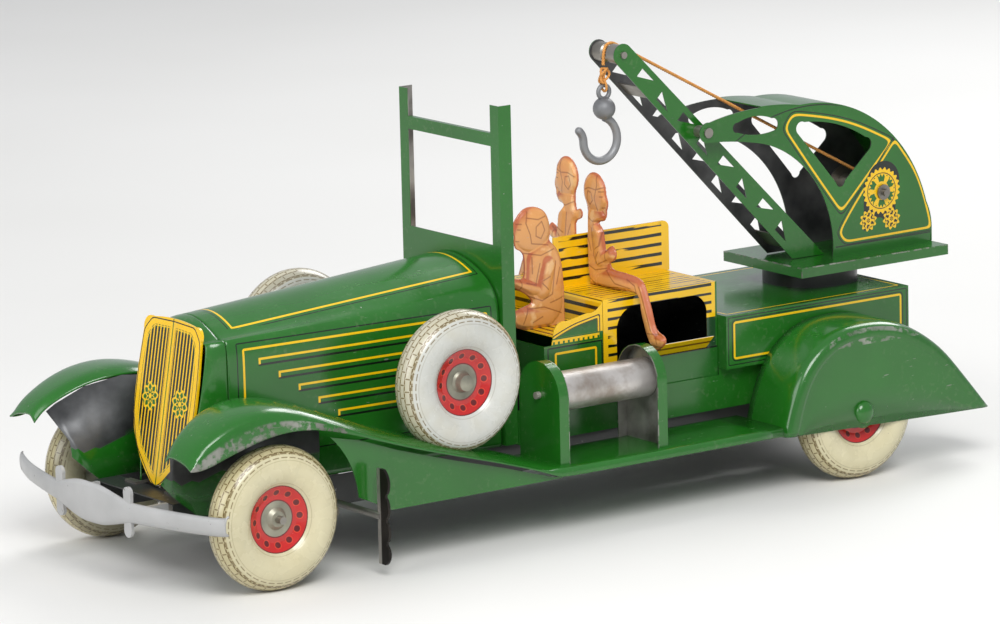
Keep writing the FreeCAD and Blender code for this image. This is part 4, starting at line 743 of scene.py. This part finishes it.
class TRUCK_OT_bonnet(bpy.types.Operator):
    """Smooth bonnet shell and nose"""
    bl_idname = "truck.bonnet"
    bl_label = "Bonnet"

    def execute(self, context):
        green = plain_green("bonnet_print", look(), layers=bonnet_marks)

        def ring(station, half, crown, shoulder, lean=0.0, foot=1.0):
            """Cross-section of the bonnet; a foot below 1 draws the lower part in to the grille's point."""
            right = [(0, crown), (0.30 * half, crown - 1.3), (0.58 * half, crown - 4.6),
                     (0.80 * half, crown - 8.6), (0.93 * half, shoulder + 1.4),
                     (0.985 * half, shoulder - 2.6), (half, shoulder - 9), (half, 66),
                     ((0.4 + 0.6 * foot) * half, 51), ((0.15 + 0.85 * foot) * half, 42),
                     (foot * half, 34.4)]
            both = [(-y, z) for y, z in reversed(right[1:])] + right
            return [(station + lean * (103.5 - z), y, z) for y, z in both]

        lean = math.tan(math.radians(10.0))
        rings = [ring(167.8, 34, 113.8, 98.5), ring(171, 33.8, 113.5, 98.4), ring(230, 30.9, 109.4, 97.6),
                 ring(296, 27.7, 104.7, 96.5), ring(299.6, 27.4, 104.5, 96.4)]
        nose = [ring(300.0, 27.5, 104.5, 96.4), ring(302.2, 27.0, 104.4, 96.2, 0.3 * lean, 0.97),
                ring(304.6, 25.6, 103.9, 96.0, 0.8 * lean, 0.8), ring(305.9, 24.0, 103.2, 95.6, lean, 0.55)]
        pressing("bonnet_shell", rings, spot(240, 0, 60), green, 2, ["bonnet"])
        pressing("nose_shell", nose, spot(300, 0, 60), green, 2)
        return {"FINISHED"}


class TRUCK_OT_wings(bpy.types.Operator):
    """Front wings with drooping edges, and arched rear wings with flat skirts"""
    bl_idname = "truck.wings"
    bl_label = "Wings"

    def execute(self, context):
        green = plain_green("wing_green", look(), wear=1.6, worn=lambda p: p.above(abs(p.y), 69.2)
                            * p.above(p.x, 270) | p.between(abs(p.y), 68.9, 69.7) * p.above(p.z, 60)
                            * p.below(p.x, 100) * 0.8)
        stations = [(346.0, 60.0, 56.5), (343.0, 64.5, 56.0), (338.0, 68.5, 56.5), (326.0, 75.0, 60.5),
                    (310.0, 78.2, 65.0), (295.0, 76.3, 66.2), (280.0, 71.0, 64.2), (262.0, 63.5, 58.3),
                    (243.0, 56.0, 51.5), (218.0, 48.3, 43.8), (193.0, 40.4, 36.8), (170.0, 33.2, 29.2),
                    (164.0, 30.6, 26.4), (158.0, 30.0, 26.0), (100.0, 30.0, 26.0), (44.6, 30.0, 26.0)]
        for name, side in SIDES:
            rings = []
            for x, crown, rim in stations:
                drop = 0.0 if x < 165 else 1.0
                inner = 36.4 + 13.5 * max((x - 300) / 46, 0) ** 1.6
                ring = [(inner, crown - 3.0 * drop), (max(42.0, inner + 2.5), crown - 0.3 * drop),
                        (max(50.0, inner + 5), crown + 0.1 * drop),
                        (59.5, crown - 0.3 * drop), (66.0, crown - 1.6 * drop),
                        (68.7, crown - 3.4 * drop - 0.3), (69.4, (crown + rim) / 2 - drop), (69.4, rim)]
                rings.append([(x, side * y, z) for y, z in ring])
            pressing("front_wing_shell_" + name, rings, spot(240, side * 52, 0), green, 2,
                     ["front_wing_" + name])
            self.valance(name, side)
            self.rear(name, side, green)
        return {"FINISHED"}

    def valance(self, name, side):
        """Upright inner panel between the front wing and the chassis."""
        top = [(262.0, 36.6, 59.8), (280.0, 36.6, 67.2), (295.0, 36.6, 72.6), (310.0, 37.7, 74.2),
               (326.0, 42.0, 71.0), (338.0, 46.4, 64.4), (341.5, 47.6, 61.6)]
        bend = [(262.0, 36.6, 48.4), (280.0, 36.6, 48.4), (295.0, 36.6, 48.5), (310.0, 36.8, 48.6),
                (326.0, 37.6, 48.8), (334.0, 38.2, 49.2), (336.0, 38.6, 49.6)]
        foot = [(262.0, 34.6, 27.0), (280.0, 34.6, 27.0), (295.0, 34.0, 27.0), (308.0, 33.2, 27.0),
                (320.0, 32.4, 28.0), (332.0, 32.6, 38.0), (338.0, 34.0, 44.0)]
        rows = [[(x, side * y, z) for x, y, z in row] for row in (foot, bend, top)]
        inside = plain_green("valance_print_" + name, look(), wear=1.4,
                             tin=(tint(92, 93, 94), tint(52, 53, 54)),
                             bare=lambda p: p.above(abs(p.y), 36.42))
        pressing("valance_" + name, rows, spot(300, 0, 45), inside, 0, thickness=SHEET, rim=False)

    def rear(self, name, side, green):
        """Arched rear wing with its flat skirt, and the pressed cap over the axle's end."""
        arch = eased([(44.0, 25.0), (38.5, 43.0), (29.5, 57.5), (14.0, 67.3), (-7.0, 69.2), (-26.0, 65.0),
                      (-44.0, 53.8), (-58.0, 39.0), (-72.0, 22.4)], 3)
        centre = Vector((-10.0, 20.0))
        rings = []
        for x, z in arch:
            inward = (centre - Vector((x, z))).normalized()

            def sunk(depth):
                return x + inward.x * depth, z + inward.y * depth

            floor = 25.0 + (x - 44.0) * 0.0224
            points = [(sunk(depth)[0], side * y, max(sunk(depth)[1], floor)) for y, depth in
                      ((41.4, 0.0), (50.0, 0.0), (61.0, 0.0), (66.0, 0.35), (68.8, 1.5), (69.8, 3.4),
                       (69.95, 6.2), (69.45, 6.7), (69.45, 8.5))]
            rings.append([*points, (sunk(8.5)[0], side * 69.45, floor)])
        pressing("rear_wing_shell_" + name, rings, spot(-10, side * 50, 10), green, 1,
                 ["rear_wing_" + name])
        dome = bmesh.new()
        rise = [(0.0, 72.0), (2.6, 71.7), (4.4, 70.6), (5.0, 69.6), (5.1, 68.9), (7.0, 68.7)]
        verts = [dome.verts.new(spot(r, side * y, 30)) for r, y in rise]
        edges = [dome.edges.new(pair) for pair in zip(verts, verts[1:])]
        bmesh.ops.spin(dome, geom=verts + edges, cent=spot(0, 0, 30), axis=Vector((0, 1, 0)), steps=32,
                       angle=2 * math.pi, use_merge=True)
        bmesh.ops.remove_doubles(dome, verts=dome.verts, dist=1e-6)
        outward(dome, spot(0, side * 60, 30))
        thicken(keep_piece("axle_cap_" + name, dome, green, "truck"), SHEET, 0)


class TRUCK_OT_bumper(bpy.types.Operator):
    """Rounded silver bumper band"""
    bl_idname = "truck.bumper"
    bl_label = "Bumper"

    def execute(self, context):
        paint = satin("bumper_silver", tint(176, 176, 175), tint(88, 84, 78))
        half_band = [(0.0, 8.5, 0.0, 0.0), (9.0, 8.2, 0.0, -0.3), (19.0, 6.2, 0.0, -1.0),
                     (26.0, 4.6, 0.0, -1.9), (34.0, 4.2, 0.0, -3.2), (60.0, 4.0, 0.0, -9.6),
                     (76.0, 3.9, 0.4, -15.2), (78.5, 4.2, 1.6, -16.0)]
        band = [(-y, *rest) for y, *rest in reversed(half_band[1:])] + half_band
        section = ((-1.9, -1.0), (-0.5, -0.86), (0.0, -0.45), (0.1, 0.0), (0.0, 0.45), (-0.5, 0.86),
                   (-1.9, 1.0))
        rings = [[(BUMPER_FRONT + sweep + out, y, BUMPER_HEIGHT + lift + share * half)
                  for out, share in section] for y, half, lift, sweep in eased(band, 3)]
        pressing("bumper_band", rings, spot(300, 0, BUMPER_HEIGHT), paint, 1, ["bumper"], 0.7, False)
        wear_material(paint, "over_riders")
        return {"FINISHED"}


# Outlines of the figures from the back of the seat.  Then their pressed forms: two ends of a rounded bar, its
# radius and its rise.  Then the drawn lines.
DRIVER_OUTLINE = ((0, 0), (10, -0.2), (20, 0), (26, 1.6), (28.6, 4.6), (27.6, 8), (23, 9.6),
                  (17.5, 11.4), (20, 15), (26, 18.6), (28.6, 20.6), (27.4, 23), (21.4, 22.6), (21, 31),
                  (22.4, 34), (25, 35.6), (25.8, 38.4), (25.6, 41), (26.6, 44), (25.4, 47.4),
                  (21, 51.8), (15.6, 52.6), (10.4, 50.4), (7.8, 46.4), (6.8, 41), (7.2, 37), (4, 33.4),
                  (1.6, 28), (0.5, 20), (0.1, 10))
SITTER_OUTLINE = ((2, 0), (18, -0.2), (35.6, 0), (38.6, -8.4), (41.6, -16.6), (45, -21.2), (49.2, -22),
                  (52.8, -20), (54.8, -17.6), (53.6, -15.4), (48.2, -13), (45, -5), (41.6, 3),
                  (39, 6.2), (34.6, 7.6), (26, 8.2), (18.5, 8.6), (16.6, 11), (19.6, 12.6), (21, 15.6),
                  (18.6, 18.6), (15.6, 17.6), (13.4, 16.4), (12, 24), (9, 27.5), (12.6, 28.8),
                  (14.3, 31), (14.6, 33.4), (15.6, 36.5), (14.4, 40), (13.4, 44.6), (9.6, 48.4),
                  (5, 49), (1, 46.6), (-1.2, 42.4), (-1, 38), (1, 33.6), (1.2, 29), (1, 20), (0.9, 10))
DRIVER_FORM = ((16, 44, 16.5, 43, 9.5, 1.5), (10, 28, 11, 10, 9.5, 1.5), (9, 27, 12, 16, 4.4, 2.4),
               (12, 16, 27, 20.5, 3.0, 2.1), (10, 5, 26, 5, 5.0, 1.7))
DRIVER_LINES = (((19.5, 51), (20.4, 46), (18.4, 41), (17.6, 37), (9, 35.4)),
                ((10, 48), (14, 47), (20.2, 48.4)),
                ((12.2, 46), (10.6, 42), (12.6, 38.6), (15.4, 40), (15.2, 44), (12.2, 46)),
                ((23.2, 43.6), (24.6, 43.8)), ((22.6, 46), (25, 46.2)), ((23.8, 38.6), (25.2, 38.8)),
                ((6, 33.4), (13, 31.4), (21.3, 33.2)), ((5.4, 28), (7.4, 14), (13, 11.8), (26, 17.4)),
                ((13.6, 28), (16, 19), (21, 20.4)), ((24, 18), (23.4, 22.4)), ((1, 12), (8.6, 10.4)),
                ((20, 9.4), (23, 3)), ((17.4, 31), (17.4, 24)), ((3, 25), (5, 18)),
                ((2, 5), (12, 9), (20, 9)),
                ((9, 22), (12.4, 20.6)), ((10, 16.4), (13, 19.4)), ((13, 5), (18, 3)))
SITTER_FORM = ((7, 41, 7, 40.4, 8.6, 1.4), (7, 26, 8, 6, 8.4, 1.4), (9, 24.6, 11, 12, 4.0, 2.2),
               (11, 12, 18, 15, 2.8, 2.0), (18.4, 15.6, 18.5, 15.7, 2.8, 1.7), (8, 3.4, 37, 2.6, 4.6, 1.7),
               (38.4, 1, 46, -16, 3.6, 1.6), (46, -18, 54, -18.6, 2.8, 1.4))
SITTER_LINES = (((0, 41), (4, 42.4), (9, 42), (13.4, 43.4)), ((9, 48), (9.8, 44), (8, 38), (9.4, 33)),
                ((3.4, 41), (2.4, 37.4), (4.4, 35), (6.6, 37), (5.8, 40.4), (3.4, 41)),
                ((11.4, 39.2), (13.2, 39.4)), ((11, 41.4), (13.6, 41.6)), ((12.4, 34.4), (14, 34.6)),
                ((1.4, 30), (6, 28), (12.4, 28.8)), ((5.4, 25), (7, 13), (9.4, 9.4), (16, 12.4)),
                ((12.6, 23), (14, 15.4), (17, 17.4)), ((15.6, 12.6), (15.2, 17)), ((1, 9), (8, 7), (15, 8.6)),
                ((12, 26.4), (11.4, 18)), ((3, 20), (5, 15)), ((8, 16), (11.4, 18)), ((8.6, 12), (11, 15.4)),
                ((15, 7.6), (22, 3), (33, 2.4)), ((30, 6), (36, 4), (38, -2)),
                ((3, 3), (12, -0.2), (24, 1.6)),
                ((38.6, 4), (43, -6), (46.4, -14)), ((44, -15.4), (50, -15)), ((44.6, -20), (53, -20.4)),
                ((49, -15.2), (50.4, -19)))


def span(points, start, end):
    """Distances of points from a straight stroke."""
    start, end = np.array(start, float), np.array(end, float)
    run = end - start
    share = np.clip((points - start) @ run / max(run @ run, 1e-9), 0, 1)
    return np.linalg.norm(points - start - share[:, None] * run, axis=1)


class TRUCK_OT_figures(bpy.types.Operator):
    """Embossed tin driver and passengers"""
    bl_idname = "truck.figures"
    bl_label = "Figures"

    def execute(self, context):
        x, z = DRIVER_BACK, DRIVER_SEAT
        driver = [(x + u, z + v) for u, v in DRIVER_OUTLINE]
        paint = self.skin()
        self.press("driver_embossed", driver, lambda u, v, w: (u, DRIVER_SIDE + w, v),
                   [(u0 + x, v0 + z, u1 + x, v1 + z, r, h) for u0, v0, u1, v1, r, h in DRIVER_FORM],
                   [[(u + x, v + z) for u, v in line] for line in DRIVER_LINES], paint, "driver_figure")
        for name, side, station, taller in (("left", 1, 96.0, 0.0), ("right", -1, 101.0, 6.0)):
            def grown(u, v):
                """A point of the sitter, with the part above the lap raised for the taller one."""
                return u, BENCH_TOP + v + taller * min(max((v - 5) / 6, 0), 1)

            outline = [grown(u, v) for u, v in SITTER_OUTLINE]
            if taller:
                outline[-3:] = [grown(0.4, 27), grown(-2.2, 27.4), grown(-3.8, 25.6), grown(-3.0, 23.4),
                                grown(0.8, 21), grown(1.0, 14)]
            self.press("passenger_embossed_" + name, outline,
                       lambda u, v, w, s=side, x0=station: (x0 + w, s * u, v),
                       [(*grown(u0, v0), *grown(u1, v1), r, h) for u0, v0, u1, v1, r, h in SITTER_FORM],
                       [[grown(u, v) for u, v in line] for line in SITTER_LINES], paint, "passenger_" + name)
        return {"FINISHED"}

    def press(self, name, outline, place, form, lines, material, node):
        """Thin plate with that outline, with rounded forms pressed out of it and its print on its points."""
        curve = bpy.data.curves.new(name + "_outline", "CURVE")
        curve.dimensions, curve.fill_mode, curve.extrude = "2D", "BOTH", 0.35
        points = eased([*outline, outline[0]], 4)[:-1]
        spline = curve.splines.new("POLY")
        spline.points.add(len(points) - 1)
        for point, (u, v) in zip(spline.points, points):
            point.co = (u, v, 0, 1)
        spline.use_cyclic_u = True
        flat = bpy.data.objects.new("flat", curve)
        bpy.context.scene.collection.objects.link(flat)
        bpy.context.view_layer.update()
        solid = bpy.data.objects.new("solid", bpy.data.meshes.new_from_object(flat))
        bpy.context.scene.collection.objects.link(solid)
        remesh = solid.modifiers.new("even", "REMESH")
        remesh.mode, remesh.voxel_size = "VOXEL", 0.3
        bpy.context.view_layer.update()
        data = bpy.data.meshes.new_from_object(solid.evaluated_get(bpy.context.evaluated_depsgraph_get()))
        bpy.data.objects.remove(solid)
        bpy.data.objects.remove(flat)
        spots = np.empty(len(data.vertices) * 3)
        data.vertices.foreach_get("co", spots)
        spots = spots.reshape(-1, 3)
        flat_spots = spots[:, :2]
        edge = np.min([span(flat_spots, a, b) for a, b in zip(points, points[1:] + points[:1])], axis=0)

        def rise(at):
            shapes = [h * np.sqrt(np.clip(1 - (span(at, (u0, v0), (u1, v1)) / r) ** 2, 0, 1))
                      for u0, v0, u1, v1, r, h in form]
            return np.max(shapes, axis=0)

        height = rise(flat_spots) * np.clip(edge / 1.6, 0, 1)
        step = np.array((0.5, 0.8))
        shade = np.clip((rise(flat_spots - step) - rise(flat_spots + step)) * 0.9 - 0.05, 0, 1)
        drawn = np.min([span(flat_spots, a, b) for line in lines for a, b in zip(line, line[1:])], axis=0)
        mesh = bmesh.new()
        mesh.from_mesh(data)
        bpy.data.meshes.remove(data)
        ink, tone = (mesh.verts.layers.float.new(key) for key in ("ink", "tone"))
        for vertex, up, near, dark, rim in zip(mesh.verts, height, drawn, shade, edge):
            u, v, w = vertex.co
            vertex[ink] = min(max(1.2 - near / 0.32, 0), 1)
            vertex[tone] = max(float(dark) * 1.3, 0.7 - float(rim) / 1.1, 0)
            vertex.co = spot(*place(u, v, w + up))
        bmesh.ops.recalc_face_normals(mesh, faces=mesh.faces)
        return keep_piece(name, mesh, material, "truck", [node], 60)

    def skin(self):
        """Flesh ground with red-brown shading and drawn lines, both kept on the points of the plate."""
        paint = Paint("figure_print")
        ink, tone = (Field(paint, paint.node("ShaderNodeAttribute", {"attribute_name": key}).outputs[2])
                     for key in ("ink", "tone"))
        patches = paint.above(paint.noise(90, 4, rough=0.6), 0.6, 0.1) * 0.35
        shade = paint.above(tone + paint.noise(240, 3) * 0.4, 0.55, 0.4)
        layers = [(patches, tint(204, 122, 66)), (paint.above(paint.noise(110, 3), 0.62, 0.06) * 0.5,
                                                  tint(240, 204, 150)),
                  (shade * 0.8, tint(170, 74, 44)), (ink * 0.75, tint(112, 50, 30))]
        return printed(paint, tuple(look().flesh), layers, wear=0.6, gloss=0.24)


class TRUCK_OT_finishes(bpy.types.Operator):
    """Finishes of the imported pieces"""
    bl_idname = "truck.finishes"
    bl_label = "Finishes"

    def execute(self, context):
        colours = look()
        dark = (tint(112, 112, 112), tint(62, 63, 64))
        green = plain_green("plain_green", colours)
        wear_material(green, "body_tub", "side_skirt_left", "side_skirt_right")
        wear_material(plain_green("box_print", colours, lambda p: p.below(p.z, 74.8) * p.below(abs(p.y), 40.7)
                                  * p.between(p.x, -47.7, 52.3), box_marks), "crane_box")
        wear_material(plain_green("screen_green", colours,
                                  lambda p: p.below(p.x, 167.05) * p.below(abs(p.y), 35.75)),
                      "windscreen_frame")
        wear_material(plain_green("crossbar_green", colours), "windscreen_crossbar")
        wear_material(plain_green("bracket_green", colours, lambda p: p.between(p.x, 103.8, 159.7)
                                  * p.below(p.reach(abs(p.y), p.z | 58.0, 50.5, 58.0), 14.05),
                                  worn=lambda p: p.between(p.x, 108.2, 155.3)), "roller_brackets")
        rim = plain_green("base_green", colours, lambda p: p.below(p.z, 86.9) * p.below(abs(p.y), 27.2)
                          * p.between(p.x, -82.0, 0.0), wear=1.2,
                          worn=lambda p: p.above(p.z, 87.0) * (p.above(abs(p.y), 27.2) | p.above(
                              abs(p.x + 41.0), 40.9)) | p.above(abs(p.x + 41.0), 41.1) * p.above(
                                  abs(p.y), 27.3))
        wear_material(rim, "crane_base")
        wear_material(plain_green("cab_print", colours, lambda p: p.below(abs(p.y), 15.75), cab_marks,
                                  tin=dark), "cab_side_left", "cab_side_right")
        wear_material(plain_green("roof_print", colours, wear=1.2, layers=lambda p, c: [
            (p.between(abs(p.y), 13.4, 13.9), tuple(c.black))]), "cab_roof")
        wear_material(plain_green("boom_print", colours, lambda p: p.below(abs(p.y), 8.7), wear=1.5,
                                  tin=dark), "boom_side_left", "boom_side_right")
        bench = Paint("bench_print")
        wear_material(printed(bench, tuple(colours.yellow), bench_marks(bench, colours)), "bench_left",
                      "bench_right", "bench_backrest")
        tub = Paint("tub_print")
        wear_material(printed(tub, tuple(colours.green), tub_marks(tub, colours)), "driver_seat")
        grille = Paint("grille_print")
        wear_material(printed(grille, tuple(colours.yellow), grille_marks(grille, colours)),
                      "radiator_grille")
        boss = (tint(170, 168, 150), tint(112, 110, 98))
        for key, x, z, track, cream in (("front", FRONT_AXLE, WHEEL_RADIUS, 62.5, colours.cream),
                                        ("rear", 0, WHEEL_RADIUS, 61.2, colours.cream),
                                        ("spare", SPARE_X, SPARE_Z, 60, tint(200, 201, 194))):
            tyre, disc = Paint(key + "_tyre_print"), Paint(key + "_disc_print")
            wear_material(printed(tyre, tuple(cream), tyre_marks(tyre, x, z, track, WHEEL_RADIUS), gloss=0.26,
                                  wear=0.6), key + "_tyre_left", key + "_tyre_right")
            middle = disc.below(disc.reach(disc.x, disc.z, x, z), 7.4)
            inner = disc.below(abs(disc.y), track - 2)
            wear_material(printed(disc, tuple(colours.red), disc_marks(disc, x, z), middle | inner,
                                  tin=boss), key + "_wheel_disc_left", key + "_wheel_disc_right")
        steel = bare_metal("worn_steel", tint(170, 166, 158), tint(104, 99, 92), 0.38)
        wear_material(steel, "front_axle", "rear_axle", "great_gear", "second_gear", "motor_frame",
                      "mainspring", "steering_wheel", "boom_ties", "tip_roller", "cable_drum", "crank_handle")
        wear_material(bare_metal("roller_tin", tint(222, 218, 214), tint(168, 162, 156), 0.34, (6, 1, 1),
                                 tint(140, 126, 112), 0.55), "roller_left", "roller_right")
        wear_material(bare_metal("ratchet_steel", tint(150, 146, 138), tint(84, 80, 74), 0.4),
                      "ratchet_wheel")
        wear_material(bare_metal("key_steel", tint(70, 66, 62), tint(38, 35, 33), 0.42,
                                 edge=lambda p: p.below(p.y, 72.6, 0.6) * 0.8), "winding_key")
        wear_material(bare_metal("hook_lead", tint(158, 159, 160), tint(104, 105, 107), 0.5, metallic=0.4),
                      "hook")
        wear_material(satin("chassis_dark", tint(46, 48, 48)), "chassis")
        wear_material(satin("turntable_dark", tint(28, 30, 30)), "turntable")
        return {"FINISHED"}


class TRUCK_PT_panel(bpy.types.Panel):
    """Lists the truck's pieces"""
    bl_idname = "TRUCK_PT_panel"
    bl_label = "Crane truck"
    bl_space_type = "VIEW_3D"
    bl_region_type = "UI"
    bl_category = "Crane truck"

    def draw(self, context):
        for name in Look.__annotations__:
            self.layout.prop(context.scene.crane_truck, name)
        for operator in OPERATORS:
            self.layout.operator(operator.bl_idname)


OPERATORS = (TRUCK_OT_stage, TRUCK_OT_cord, TRUCK_OT_bonnet, TRUCK_OT_wings, TRUCK_OT_bumper,
             TRUCK_OT_figures, TRUCK_OT_finishes)


def register():
    for cls in (Look, *OPERATORS, TRUCK_PT_panel):
        bpy.utils.register_class(cls)
    bpy.types.Scene.crane_truck = bpy.props.PointerProperty(type=Look)


def unregister():
    del bpy.types.Scene.crane_truck
    for cls in (TRUCK_PT_panel, *reversed(OPERATORS), Look):
        bpy.utils.unregister_class(cls)


def main():
    register()
    for operator in OPERATORS:
        group, name = operator.bl_idname.split(".")
        if getattr(getattr(bpy.ops, group), name)() != {"FINISHED"}:
            raise RuntimeError(operator.bl_label + " didn't finish")


if __name__ == "__main__":
    main()
